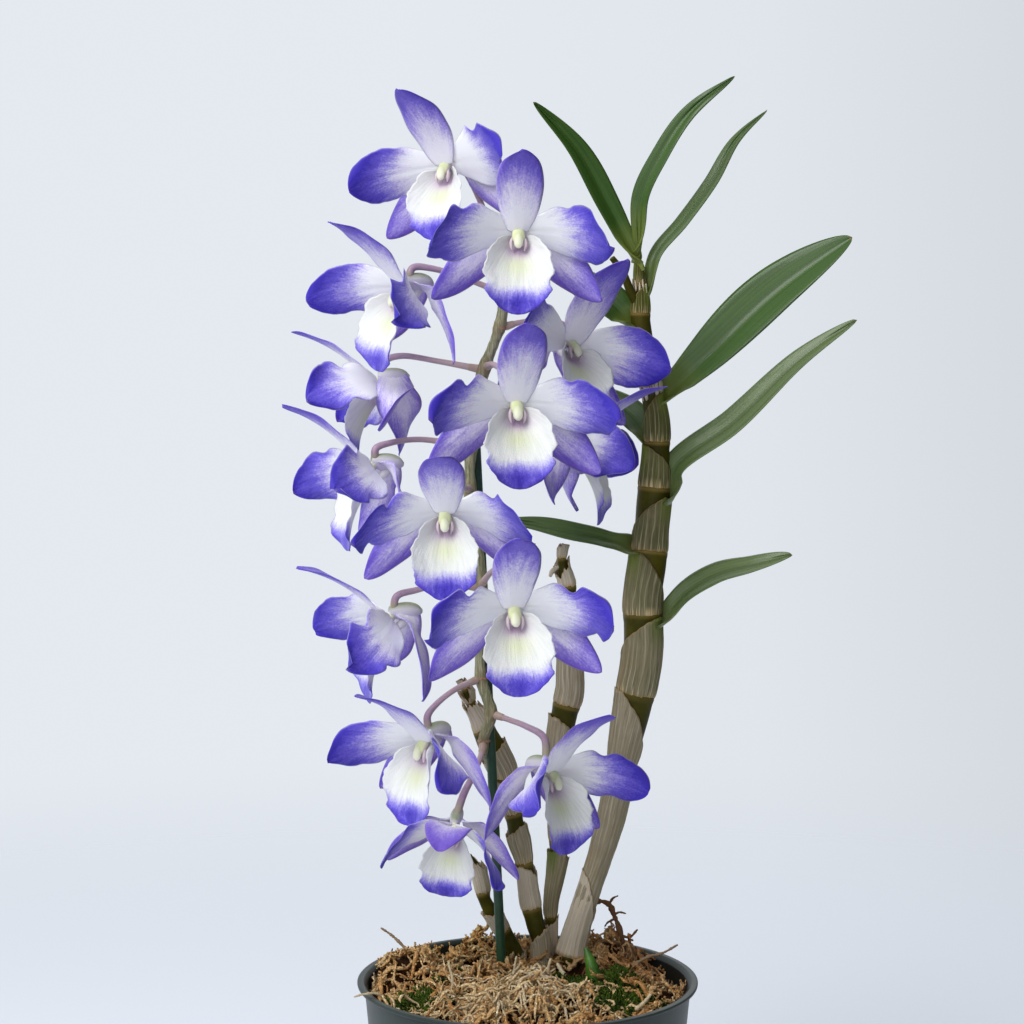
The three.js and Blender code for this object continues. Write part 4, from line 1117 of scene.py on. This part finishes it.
def sheath_paint():
    """Papery sheath: fine pale veins on grey, greener where it's young, with a dried edge."""
    paint = Paint("sheath", roughness=0.8, specular=0.05)
    age, above = paint.value("age"), paint.value("above_foot")
    angle = paint.maths("ARCTAN2", paint.value("round_y"), paint.value("round_x"))
    wander = paint.around(1.5, 0.03, 2.0)
    ribs = paint.maths("SINE", paint.plus(paint.times(angle, 20.0), paint.times(wander, 12.0)))
    streaks = paint.around(14.0, 0.1, 5.0, 0.65)
    fibres = paint.around(42.0, 0.3, 3.0, 0.6)
    young = paint.ramp(streaks, (0.3, (54, 58, 18)), (0.55, (80, 82, 32)), (0.75, (101, 98, 46)))
    old = paint.ramp(streaks, (0.28, (136, 125, 101)), (0.5, (175, 163, 136)), (0.75, (210, 200, 176)))
    ground = paint.mix(age, young, old)
    ground = paint.mix(paint.times(fibres, 0.3), ground, paint.mix(age, (92, 94, 60), (120, 113, 98)))
    clouds = paint.between(paint.grain(70.0, 4.0), 0.5, 0.78)
    ground = paint.mix(paint.times(clouds, 0.7), ground, (152, 134, 104))
    near_foot = paint.between(above, 13.0, 0.0)
    strength = paint.plus(0.24, paint.times(near_foot, 0.4))
    patchy = paint.between(paint.around(3.0, 0.06, 3.0), 0.35, 0.65)
    veins = paint.times(paint.between(ribs, 0.78, 1.0), paint.plus(0.4, patchy))
    vein_shade = paint.mix(age, (186, 178, 132), (224, 219, 206))
    shade = paint.mix(paint.times(veins, strength), ground, vein_shade)
    # Painted shade in the grooves between the ribs.
    valley_shade = paint.times(paint.between(ribs, -0.2, -1.0), 0.14)
    shade = paint.mix(valley_shade, shade, paint.mix(age, (62, 66, 32), (106, 100, 84)))
    bleached = paint.between(age, 0.97, 1.0)
    shade = paint.mix(paint.times(bleached, 0.45), shade, (224, 212, 192))
    ring = paint.times(paint.between(above, 1.8, 0.3), 0.5)
    shade = paint.mix(ring, shade, (170, 136, 86))
    dashes = paint.between(paint.around(11.0, 0.02, 2.0), 0.5, 0.6)
    dashes = paint.times(dashes, paint.between(above, 4.5, 0.8))
    shade = paint.mix(paint.times(dashes, 0.75), shade, (214, 190, 142))
    edge = paint.between(paint.value("mouth"), 0.75, 0.15)
    rim = paint.mix(age, (150, 124, 80), (190, 160, 122))
    apart = paint.maths("SUBTRACT", 1.0, paint.value("joined"))
    shade = paint.mix(paint.times(edge, paint.times(apart, 0.85)), shade, rim)
    green = paint.times(paint.value("joined"), paint.between(paint.value("mouth"), 14.0, 0.0))
    shade = paint.mix(green, shade, paint.mix(age, YOUNG_FOOT, OLD_FOOT))
    lining = paint.mix(age, (110, 92, 60), (176, 156, 126))
    paint.base(paint.mix(paint.value("inside"), shade, lining))
    paint.bump(paint.plus(paint.times(ribs, 0.3), paint.plus(streaks, fibres)), 0.0003, 0.6)
    return paint.material


def flower_cane_paint():
    """The flowering cane: grey olive with long pale streaks, browner at its knots."""
    paint = Paint("flowering_cane", roughness=0.6, specular=0.3)
    x, y, z = paint.parts(paint.place())
    drawn_out = paint.vector(paint.times(x, 1500.0), paint.times(y, 1500.0), paint.times(z, 90.0))
    streaks = paint.noise(drawn_out, 1.0, 5.0, 0.65)
    shade = paint.ramp(streaks, (0.3, (86, 86, 54)), (0.5, (132, 132, 98)), (0.68, (180, 178, 148)))
    paint.base(paint.mix(paint.times(paint.value("node"), 0.45), shade, (134, 112, 78)))
    paint.bump(streaks, 0.0003, 0.7)
    return paint.material


def plain_paint(name, light, dark, scale, roughness, bump=0.0002):
    """Two colours clouded into each other by fine noise."""
    paint = Paint(name, roughness)
    grain = paint.grain(scale, 5.0, 0.6)
    paint.base(paint.ramp(grain, (0.32, dark), (0.68, light)))
    paint.bump(grain, bump, 0.6)
    return paint.material


def leaf_paint():
    """Dark, glossy and finely veined, with a darker midrib, paler and duller at its foot."""
    paint = Paint("leaf", roughness=0.38, specular=0.34, coat=0.08)
    veins, along, tone = paint.value("veins"), paint.value("along"), paint.value("tone")
    aside, back = paint.maths("ABSOLUTE", paint.value("aside")), paint.value("back")
    lines = paint.noise(paint.vector(paint.times(veins, 2.4), along, tone), 1.0, 3.0, 0.55)
    clouds = paint.grain(45.0, 3.0)
    deep = paint.ramp(lines, (0.3, (34, 62, 10)), (0.7, (56, 90, 24)))
    grey = paint.ramp(lines, (0.3, (78, 94, 52)), (0.7, (102, 118, 74)))
    shade = paint.mix(tone, deep, grey)
    shade = paint.mix(paint.times(clouds, 0.3), shade, (66, 96, 44))
    midrib = paint.times(paint.between(aside, 0.06, 0.0), 0.6)
    shade = paint.mix(midrib, shade, paint.mix(back, (36, 60, 24), (104, 132, 76)))
    shade = paint.mix(paint.times(back, 0.45), shade, (104, 130, 84))
    shade = paint.mix(paint.value("foot"), shade, paint.mix(tone, YOUNG_FOOT, OLD_FOOT))
    paint.base(paint.mix(paint.between(along, 0.985, 1.0), shade, (140, 120, 70)))
    paint.bump(lines, 0.00007, 0.4)
    return paint.material


# ---------------------------------------------------------------- pot, stake and potting mix

POT_SIDES = 160
ROUNDING = 0.35
FLOOR_RAYS = 64  # corners of each drain hole
FLOOR_STEPS = 4
# The loose strands, scraps and crumbs on the mix.
TUFTS = 560
LEAFLETS = 8  # on each tuft
SHREDS = 420
SHRED_SIDES = 4
SHRED_RINGS = 9
STRAWS = 230
CRUMBS = 900
MOSS_SHOOTS = 1350  # in each cushion
MIX_REACH = 57.3
CORE_REACH = 58.3
CORE_RINGS = 40
CORE_SIDES = 100
MIX_SEED = 21
STRAW_PATCH = ((-12, 17), (-33, 8))  # where the straw lies: middle and spread in x, and in y
SINK = 5  # how steeply clumps and hillocks sink towards the pot's wall
# The dark hollow before the canes: its middle, and how wide it is dipped and shaded.
HOLLOW = (14, -4)
HOLLOW_DIP = 240
HOLLOW_SHADE = 230
# Clumps that stand on the mix, and dips in it: x, y, height or depth, spread.
LOOSE_TUFTS = [(-18, 34, 7, 5.5), (-53, 2, 6, 5), (-2, -40, 2, 9), (50, -17, 3, 5)]
DIPS = [(-42, 36, 7, 10), (-24, 50, 4, 7), (51, 14, 8, 9), (36, -18, 2, 9), (40, 31, 4.5, 8)]


def wall_radius(z):
    """The outside of the pot's wall."""
    return BASE_RADIUS + (WALL_TOP_RADIUS - BASE_RADIUS) * z / POT_HEIGHT


def inside_wall(points, margin):
    """Draws points in to a margin from the inside of the pot's wall."""
    room = wall_radius(np.minimum(points[..., 2], POT_HEIGHT)) - WALL - margin
    away = np.maximum(np.hypot(points[..., 0], points[..., 1]) / room, 1)
    return points / np.stack([away, away, np.ones_like(away)], axis=-1)


def polar(radius, angle, height):
    """Points round the Z axis."""
    return np.stack(np.broadcast_arrays(radius * np.cos(angle), radius * np.sin(angle), height), axis=-1)


def revolve(form, profile, **values):
    """A closed solid from a closed profile of (radius, height) corners, turned about the Z axis."""
    profile = np.array(profile, float)
    points = polar(profile[:, :1], turns(POT_SIDES), profile[:, 1:])
    form.add(points, looped_faces(points), **values)


def softened(corners):
    """Cuts each corner of a closed profile to a small rounding of three points."""
    corners = np.array(corners, float)
    soft = []
    for before, corner, after in zip(np.roll(corners, 1, 0), corners, np.roll(corners, -1, 0)):
        reach = min(ROUNDING, 0.4 * np.linalg.norm(before - corner), 0.4 * np.linalg.norm(after - corner))
        start = corner + reach * unit(before - corner)
        end = corner + reach * unit(after - corner)
        soft += [start, 0.25 * start + 0.5 * corner + 0.25 * end, end]
    return soft


def pot():
    form = Form()
    under = POT_HEIGHT - RIM_THICKNESS
    wall = [
        (BASE_RADIUS - 1.5, 0), (BASE_RADIUS, 1.5), (wall_radius(under), under), (RIM_RADIUS - 0.2, under),
        (RIM_RADIUS, POT_HEIGHT - 0.3), (RIM_RADIUS - 0.6, POT_HEIGHT), (WALL_TOP_RADIUS + 0.2, POT_HEIGHT),
        (WALL_TOP_RADIUS - WALL, POT_HEIGHT - 1.6), (wall_radius(FLOOR) - WALL, FLOOR),
        (BASE_RADIUS - 3, FLOOR), (BASE_RADIUS - 3, 0),
    ]
    # The inner corners of the wall get painted shade, with stain from the mix.
    inner_corners = (7, 8, 9)
    shaded = np.repeat(np.isin(np.arange(len(wall)), inner_corners), 3).astype(float)
    revolve(form, softened(wall), stained=np.repeat(shaded, POT_SIDES))
    for hole in range(DRAIN_HOLES):
        add_floor_sector(form, TURN * (hole + 0.5) / DRAIN_HOLES)
    add_piece("nursery_pot", form, [POT_PLASTIC], ["pot"])


def add_floor_sector(form, direction):
    """An eighth of the pot's floor with its drain hole."""
    angle = turns(FLOOR_RAYS)
    reach = np.linspace(0.5, 60, 600)
    far = DRAIN_RING + np.outer(np.cos(angle), reach)
    wide = np.outer(np.sin(angle), reach)
    half_turn = math.pi / DRAIN_HOLES
    kept = (np.hypot(far, wide) < BASE_RADIUS - 2.9) & (np.abs(np.arctan2(wide, far)) < half_turn)
    edge = reach[np.argmin(kept, axis=1)]
    share = np.linspace(0, 1, FLOOR_STEPS + 1)[:, None]
    radius = DRAIN_RADIUS * (1 - share) + edge * share
    x, y = DRAIN_RING + radius * np.cos(angle), radius * np.sin(angle)
    c, s = math.cos(direction), math.sin(direction)
    under = np.stack([c * x - s * y, s * x + c * y, np.zeros_like(x)], axis=-1)
    points = np.concatenate([under[::-1], under + [0, 0, FLOOR]])
    form.add(points, ring_faces(numbered(points)))


def pot_paint():
    """Dull dark green plastic, darker inside with painted shade and the mix's stain."""
    paint = Paint("pot_plastic", roughness=0.42, specular=0.27)
    grain = paint.grain(60.0, 5.0, 0.6)
    shade = paint.ramp(grain, (0.32, (35, 45, 41)), (0.68, (42, 53, 49)))
    # Painted shade, with the mix's stain, darkens the inside of the wall.
    paint.base(paint.mix(paint.value("stained"), shade, (20, 24, 21)))
    paint.bump(grain, 0.00003, 0.6)
    return paint.material


def lumps(points, seed):
    """Smooth unevenness from about -1 to 1, with a wave length of about 6."""
    random = np.random.default_rng(seed)
    waves = 10
    total = 0
    for _ in range(waves):
        direction = unit(random.normal(size=points.shape[-1]))
        total = total + np.sin(points @ direction * random.uniform(0.7, 1.5) + random.uniform(0, TURN))
    return total / math.sqrt(2 * waves)


def mound(x, y, at_x, at_y, rise, spread):
    """The height of a round heap over a place."""
    return rise * np.exp(-((x - at_x) ** 2 + (y - at_y) ** 2) / (2 * spread**2))


def mix_height(x, y):
    """The even mix: a dome with small waves, heaps and dips."""
    waves = np.sin(0.31 * x + 1) * np.sin(0.27 * y + 0.15 * x)
    waves = waves + 0.6 * np.sin(0.55 * y - 0.21 * x) * np.cos(0.47 * x + 0.2 * y)
    height = MIX_EDGE_HEIGHT + MIX_DOME * (1 - (x * x + y * y) / WALL_TOP_RADIUS**2) + MIX_BUMP * waves
    for heap in MIX_HEAPS:
        height = height + mound(x, y, *heap)
    for dip in DIPS:
        height = height - mound(x, y, *dip)
    return height


def add_core(form):
    """The core below the strands, in full painted shade, from its uneven top down to the pot's floor."""
    share = np.linspace(0, 1, CORE_RINGS + 1)[:, None]
    angle = turns(CORE_SIDES)
    radius = CORE_REACH * share
    x, y = radius * np.cos(angle), radius * np.sin(angle)
    unevenness = 0.9 * lumps(np.stack([x, y], axis=-1) * 1.6, 3) * np.clip(4 * (1 - share), 0, 1)
    top = np.stack([x, y, mix_height(x, y) - 3 + 0.85 * loose_tufts(x, y) + unevenness], axis=-1)
    profile = [(wall_radius(50) - 1.8, 50), (wall_radius(2.5) - 1.9, 2.5), (0.01, 2.5)]
    lower = [polar(radius, angle, height) for radius, height in profile]
    points = np.concatenate([inside_wall(top, 0.3), lower])
    numbers = numbered(points)
    numbers[0], numbers[-1] = numbers[0, 0], numbers[-1, 0]
    form.add(points, ring_faces(numbers), tone=0.1, sunk=1.0)


def potting_mix():
    """A core in full painted shade, with curly shreds of dried moss all over it."""
    form = Form()
    add_core(form)
    random = np.random.default_rng(MIX_SEED)
    for _ in range(TUFTS):
        x, y = scattered(random)
        front = math.exp(-((x + 7) ** 2 / 700 + (y + 30) ** 2 / 260))
        add_tuft(form, random, (x, y), random.uniform(0, 0.6) + 0.35 * front)
    add_piece("sphagnum", form, [MIX], ["potting_mix"])
    form = Form()
    for _ in range(STRAWS):
        place = [random.normal(*reach) for reach in STRAW_PATCH]
        add_shred(form, random, place, random.uniform(8, 18), random.uniform(0.35, 0.65), 0.17,
                  random.uniform(0.75, 1.15))
    add_piece("straw", form, [MIX])
    form = Form()
    for _ in range(SHREDS):
        add_shred(form, random, scattered(random), random.uniform(5, 12), random.uniform(0.3, 0.55), 0.5,
                  random.uniform(0.1, 0.9))
    for _ in range(CRUMBS):
        x, y = scattered(random)
        foot = np.array([x, y, mix_top(x, y) + random.uniform(-0.8, 1.2)])
        add_leaflet(form, random, foot, unit(random.normal(0, 1, 3) + [0, 0, 0.9]), random.uniform(0.1, 1.0))
    add_piece("crumbs", form, [MIX])


def hollow(x, y):
    """1 in the dark hollow before the canes, and 0 away from it."""
    return math.exp(-((x - HOLLOW[0]) ** 2 + (y - HOLLOW[1]) ** 2) / HOLLOW_DIP)


def scattered(random):
    """A place on the mix, seldom in the hollow."""
    while True:
        radius, angle = MIX_REACH * math.sqrt(random.uniform(0, 1)), random.uniform(0, TURN)
        x, y = radius * math.cos(angle), radius * math.sin(angle)
        if random.uniform(0, 1) > 0.85 * hollow(x, y):
            return x, y


def mix_top(x, y):
    """The height of the tufts, which sink to the even mix at the pot's wall."""
    inward = min(1, (1 - math.hypot(x, y) / WALL_TOP_RADIUS) * SINK)
    return float(mix_height(x, y) + loose_tufts(x, y)) - 1.2 - 2.5 * hollow(x, y) + hillocks(x, y) * inward


def loose_tufts(x, y):
    """How much higher the loose clumps stand. They sink to nothing at the pot's wall."""
    inward = np.clip((1 - np.hypot(x, y) / WALL_TOP_RADIUS) * SINK, 0, 1)
    return inward * sum(mound(x, y, *tuft) for tuft in LOOSE_TUFTS)


def add_tuft(form, random, place, tone):
    """A thick crooked strand of dried moss, rough with its small leaves."""
    thickness = random.choice([0.55, 0.8, 1.1])
    strand = add_shred(form, random, place, random.uniform(7, 16), thickness, random.uniform(0.2, 0.6), tone)
    for _ in range(LEAFLETS):
        out = unit(random.normal(0, 1, 3) + [0, 0, 0.5])
        foot = strand[random.integers(0, SHRED_RINGS)] + 0.5 * thickness * out
        add_leaflet(form, random, foot, out, tone + random.uniform(-0.15, 0.35))


def add_leaflet(form, random, foot, lean, tone):
    """A short scrap of moss leaf that stands off its foot."""
    path = foot + np.outer(np.linspace(0, random.uniform(1.0, 2.6), 4), lean)
    path = inside_wall(path + random.normal(0, 0.22, (4, 3)), 0.5)
    tube(form, path, random.uniform(0.15, 0.6, (4, 3)), 3, tone=tone, sunk=depth_shade_at(path))


def depth_shade_at(path):
    """Painted shade for a shred's points, by how deep they lie among the others: from 0 at the top to 1 in
    full shade, and more in the hollow before the canes.
    """
    x, y = path[:, 0], path[:, 1]
    top = mix_height(x, y) + loose_tufts(x, y) - 1.3
    # Painted shade in the hollow before the canes.
    dark = np.exp(-((x - HOLLOW[0]) ** 2 + (y - HOLLOW[1]) ** 2) / HOLLOW_SHADE)
    return np.clip((top - path[:, 2]) / 3 + 0.7 * dark, 0, 1)


def hillocks(x, y):
    """How high the tufts of moss stand above and below the even mix."""
    return 2 * lumps(np.array([x, y]) * 0.32, 8) + 1.1 * lumps(np.array([x, y]) * 0.8, 9)


def add_shred(form, random, place, length, thickness, curl, tone):
    """One knobbly shred that lies on the mix from its place, and wanders as it goes. Returns its line."""
    x, y = place
    heading = random.uniform(0, TURN)
    step = length / SHRED_RINGS
    bend = random.normal(0, 0.6 * curl)
    lift, tilt = random.uniform(-1.2, 2.4), random.normal(0, 0.4)
    path = []
    for ring in range(SHRED_RINGS):
        share = ring / (SHRED_RINGS - 1)
        away = max(math.hypot(x, y) / MIX_REACH, 1)
        x, y = x / away, y / away
        path.append((x, y, mix_top(x, y) + lift * math.sin(math.pi * share) + tilt * ring * step * 0.6))
        x += step * math.cos(heading)
        y += step * math.sin(heading)
        heading += bend + random.normal(0, curl)
    path = inside_wall(np.array(path), 1.3 * thickness)
    share = np.linspace(0, 1, SHRED_RINGS)[:, None]
    taper = np.clip(4 * np.minimum(share, 1 - share) + 0.3, 0, 1)
    radii = thickness * taper * random.uniform(0.5, 1.3, (SHRED_RINGS, SHRED_SIDES))
    tube(form, path, radii, SHRED_SIDES, tone=tone, sunk=depth_shade_at(path))
    return path


def moss(number, x, y, radius, rise):
    """A green cushion of many small crooked shoots, thinning out at its edge."""
    form = Form()
    add_moss(form, number, x, y, radius, rise, MOSS_SHOOTS)
    add_piece(f"moss_cushion_{number}", form, [MOSS_GREEN], [f"moss_{number}"])


def moss_scraps():
    """Small green tufts in the hollows of the mix."""
    form = Form()
    for number, (x, y, radius) in enumerate(MOSS_SCRAPS, start=10):
        add_moss(form, number, x, y, radius, 0.8, int(6.5 * radius**2))
    add_piece("moss_scraps", form, [MOSS_GREEN])


def add_moss(form, number, x, y, radius, rise, shoots):
    random = np.random.default_rng(number)
    for _ in range(shoots):
        away, angle = radius * 1.25 * random.uniform(0, 1) ** 0.6, random.uniform(0, TURN)
        away *= 1 + 0.25 * math.sin(3 * angle + number) + 0.15 * math.sin(7 * angle)
        px, py = x + away * math.cos(angle), y + 0.85 * away * math.sin(angle)
        if math.hypot(px, py) > MIX_REACH:
            continue
        high = rise * max(0.1, 1 - (away / radius) ** 2) * random.uniform(0.3, 1)
        foot = np.array([px, py, float(mix_height(px, py)) - 0.8 + 0.5 * hillocks(px, py)])
        lean = random.normal(0, 0.6, 3) + [0, 0, 1]
        tip = foot + unit(lean) * (0.8 + high + random.uniform(0, 0.9))
        path = inside_wall(np.linspace(foot, tip, 5) + random.normal(0, 0.28, (5, 3)), 0.5)
        tube(form, path, [0.2, 0.42, 0.26, 0.36, 0.05], 3, tone=random.uniform(0, 1),
             along=np.linspace(0, 1, 5))


def mix_paint():
    """Dried moss: each shred has its own tone, from brown to straw, and painted shade darkens the hollows
    and the shreds that lie deep.

    It is olive at the back left and pinkish brown at the right."""
    paint = Paint("mix", roughness=0.85, specular=0.12)
    grain = paint.between(paint.grain(1300.0, 3.0, 0.7), 0.36, 0.64)
    region = paint.grain(60.0)
    tone = paint.plus(paint.times(paint.value("tone"), 0.62), paint.times(region, 0.5))
    shade = paint.ramp(tone, (0.15, (194, 138, 80)), (0.35, (230, 176, 112)), (0.55, (246, 206, 146)),
                       (0.75, (252, 226, 176)), (1.0, (250, 234, 198)))
    x, y, _ = paint.parts(paint.place())
    left = paint.times(paint.between(x, 0.0, -0.03), paint.between(y, -0.005, 0.03))
    shade = paint.mix(paint.times(left, 0.5), shade, (214, 204, 140), "MULTIPLY")
    right = paint.times(paint.between(x, 0.015, 0.045), paint.between(y, -0.03, 0.01))
    shade = paint.mix(paint.times(right, 0.6), shade, (176, 136, 114), "MULTIPLY")
    shade = paint.mix(paint.times(grain, 0.5), shade, (186, 156, 120), "MULTIPLY")
    # Painted shade: darker where shreds lie deep among the others and in the hollow.
    paint.base(paint.mix(paint.value("sunk"), shade, (72, 57, 41), "MULTIPLY"))
    paint.bump(grain, 0.0005, 1.0)
    return paint.material


def moss_paint():
    """Dark green at the foot of each shoot, and lighter at its tip."""
    paint = Paint("moss", roughness=0.8, specular=0.15)
    grain = paint.grain(900.0, 3.0)
    tone = paint.plus(paint.times(paint.value("along"), 0.6), paint.times(paint.value("tone"), 0.4))
    shade = paint.ramp(tone, (0.1, (10, 18, 4)), (0.5, (34, 52, 10)), (0.95, (84, 108, 28)))
    paint.base(paint.mix(paint.times(grain, 0.25), shade, (60, 70, 22)))
    return paint.material


def root_paint():
    """From brown bark to a pale, dry root."""
    paint = Paint("root", roughness=0.8, specular=0.2)
    grain = paint.grain(700.0, 4.0, 0.7)
    shade = paint.mix(paint.value("tone"), (112, 80, 54), (230, 216, 178))
    paint.base(paint.mix(paint.times(grain, 0.6), shade, (96, 72, 50)))
    paint.bump(grain, 0.0004, 0.8)
    return paint.material


def add_root(form, points, radii, tone):
    """A knobbly root or twig."""
    centres, radii = rounded(points, radii, 0.5)
    share = np.linspace(0, 1, len(centres))
    knobs = 1 + 0.16 * np.sin(23 * share) + 0.14 * np.sin(61 * share) + 0.1 * np.sin(103 * share)
    tube(form, centres, radii * knobs, tone=tone)


def roots():
    """The curled root, the pale root tip, and bare twigs."""
    form = Form()
    add_root(form, CURLED_ROOT, np.full(len(CURLED_ROOT), CURLED_ROOT_RADIUS), 0.0)
    add_piece("curled_root", form, [ROOT], ["root_curled"])
    form = Form()
    add_root(form, PALE_ROOT, [1.3, 1.25, 1.0, 0.45], 1.0)
    add_piece("pale_root", form, [ROOT], ["root_pale"])
    form = Form()
    for thickness, pale, route in TWIGS:
        add_root(form, route, np.linspace(thickness, 0.5 * thickness, len(route)), pale)
    add_piece("twigs", form, [ROOT])


def green_shoot():
    """A young shoot in its first two leaf scales."""
    form = Form()
    centres, radii = rounded([s[:3] for s in SHOOT], [s[3] for s in SHOOT], 0.5)
    tube(form, centres, radii, 24, along=np.linspace(0, 1, len(centres)))
    scale = Route([(*s[:3], s[3] + 0.35) for s in SHOOT])
    for high, side in ((0.62, 0.2), (0.42, 0.7)):
        line = scale.at(np.linspace(0, high, 24))
        edge = 0.75 + 0.25 * np.cos(turns(24) - TURN * side)
        shut = np.clip(1 - (np.linspace(0, 1, 24)[:, None] - edge) * 6, 0, 1)
        tube(form, line[:, :3], line[:, 3:] * (0.72 + 0.3 * shut), 24, along=0.3)
    add_piece("shoot", form, [SHOOT_GREEN], ["green_shoot"])


def stake():
    """A straight rod with a rounded top."""
    form = Form()
    foot, top = np.array(STAKE_FOOT, float), np.array(STAKE_TOP, float)
    share = np.concatenate([[0], np.linspace(0.002, 0.985, 30), [0.992, 0.997, 1]])[:, None]
    radii = np.full(len(share), STAKE_RADIUS)
    radii[[0, -3, -2, -1]] = STAKE_RADIUS * np.array([0.85, 0.96, 0.75, 0.35])
    tube(form, foot + share * (top - foot), radii, 24)
    add_piece("stake", form, [STAKE_PLASTIC], ["support_stake"])


# ---------------------------------------------------------------- camera, light and floor

CAMERA_PLACE = (-0.0057, -0.796, 0.328)
CAMERA_PITCH = 3.7  # degrees below the horizon
FOCAL_LENGTH = 77.34
BACKDROP = (230, 235, 242)
DARK_SIDE = (176, 179, 186)
# How bright the sky is from left to right.
SIDEWAYS = [(share, share, share, 1) for share in (1, 0.96, 0.82, 0.34, 0.16, 0.12)]
SKY_STRENGTH = 0.985
LIGHT_AIM = (0, 0, 0.26)
# Soft square lights: place, size and power.
LIGHTS = {
    "key": ((-0.6, -0.7, 1.05), 0.7, 12.5),
    "fill": ((0.8, -0.7, 0.5), 0.9, 0.5),
    "front": ((-0.25, -1.1, 0.45), 0.9, 2.2),
    "rim": ((0.3, 0.9, 0.9), 0.8, 2.0),
}


def add_camera():
    camera = bpy.data.objects.new("camera", bpy.data.cameras.new("camera"))
    camera.data.sensor_width = 36
    camera.data.lens = FOCAL_LENGTH
    camera.data.clip_start = 0.01
    camera.location = CAMERA_PLACE
    camera.rotation_euler = (math.radians(90 - CAMERA_PITCH), 0, 0)
    bpy.context.scene.collection.objects.link(camera)
    bpy.context.scene.camera = camera


def add_light(name, place, size, energy):
    lamp = bpy.data.lights.new(name, "AREA")
    lamp.size = size
    lamp.energy = energy
    light = bpy.data.objects.new(name, lamp)
    light.location = place
    light.rotation_euler = (Vector(LIGHT_AIM) - Vector(place)).to_track_quat("-Z", "Y").to_euler()
    bpy.context.scene.collection.objects.link(light)


def add_floor():
    """A plain pale floor that fades out with distance."""
    mesh = bpy.data.meshes.new("floor")
    size = 2
    mesh.from_pydata([(-size, -size, 0), (size, -size, 0), (size, size, 0), (-size, size, 0)], [],
                     [(0, 1, 2, 3)])
    floor = bpy.data.objects.new("floor", mesh)
    floor.location.z = -0.0005
    paint = Paint("floor", roughness=0.9, specular=0.1)
    paint.base(BACKDROP)
    distance = paint.node("ShaderNodeVectorMath", paint.place(), operation="LENGTH")
    paint.feed(paint.shader.inputs["Alpha"], paint.between(distance.outputs["Value"], 1.1, 0.16))
    mesh.materials.append(paint.material)
    bpy.context.scene.collection.objects.link(floor)


def add_sky():
    """An even pale sky, darker at the right and in front of the plant."""
    world = bpy.data.worlds.new("studio")
    world.use_nodes = True
    nodes, links = world.node_tree.nodes, world.node_tree.links
    nodes["Background"].inputs["Strength"].default_value = SKY_STRENGTH
    parts = nodes.new("ShaderNodeSeparateXYZ")
    links.new(nodes.new("ShaderNodeTexCoord").outputs["Generated"], parts.inputs[0])
    ramps = []
    back_and_front = [colour(*DARK_SIDE), colour(*BACKDROP)]
    for axis, (low, high), shades in ((0, (-0.05, 0.75), SIDEWAYS), (1, (-0.7, 0.4), back_and_front)):
        span = nodes.new("ShaderNodeMapRange")
        span.inputs[1].default_value, span.inputs[2].default_value = low, high
        links.new(parts.outputs[axis], span.inputs[0])
        ramp = nodes.new("ShaderNodeValToRGB")
        for place, shade in zip(np.linspace(0, 1, len(shades))[1:-1], shades[1:-1]):
            ramp.color_ramp.elements.new(place).color = shade
        ramp.color_ramp.elements[0].color, ramp.color_ramp.elements[-1].color = shades[0], shades[-1]
        links.new(span.outputs[0], ramp.inputs[0])
        ramps.append(ramp)
    blend = nodes.new("ShaderNodeMix")
    blend.data_type, blend.blend_type = "RGBA", "MULTIPLY"
    blend.inputs[0].default_value = 1
    for socket, ramp in zip((6, 7), ramps):
        links.new(ramp.outputs[0], blend.inputs[socket])
    links.new(blend.outputs[2], nodes["Background"].inputs["Color"])
    bpy.context.scene.world = world


# ---------------------------------------------------------------- assembly

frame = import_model()
add_camera()
add_floor()
add_sky()
for light_name, light_settings in LIGHTS.items():
    add_light(light_name, *light_settings)
bpy.context.scene.view_settings.view_transform = "Standard"

PETAL = petal_paint()
LIP = lip_paint()
COLUMN = column_paint()
CHIN = chin_paint()
STALK = stalk_paint()
BARE_CANE = cane_paint()
SHEATH = sheath_paint()
FLOWER_CANE = flower_cane_paint()
SCAR = plain_paint("scar", (176, 140, 112), (128, 92, 66), 800.0, 0.75)
LEAF = leaf_paint()
POT_PLASTIC = pot_paint()
STAKE_PLASTIC = plain_paint("stake_plastic", (26, 70, 42), (16, 54, 32), 300.0, 0.42, bump=0.00006)
MIX = mix_paint()
MOSS_GREEN = moss_paint()
ROOT = root_paint()
SHOOT_GREEN = plain_paint("shoot", (74, 124, 24), (34, 76, 8), 260.0, 0.45)

for order, blossom in enumerate(BLOOMS, start=1):
    bloom(order, blossom)
    lip(order, blossom)
for cane_name in CANES:
    cane(cane_name)
flowering_cane()
main_route = Route(CANES["main_cane"]["stations"])
for order, blade_shape in enumerate(LEAVES, start=1):
    leaf(order, *blade_shape, main_route)
pot()
potting_mix()
stake()
for order, cushion in enumerate(MOSS, start=1):
    moss(order, *cushion)
moss_scraps()
roots()
green_shoot()
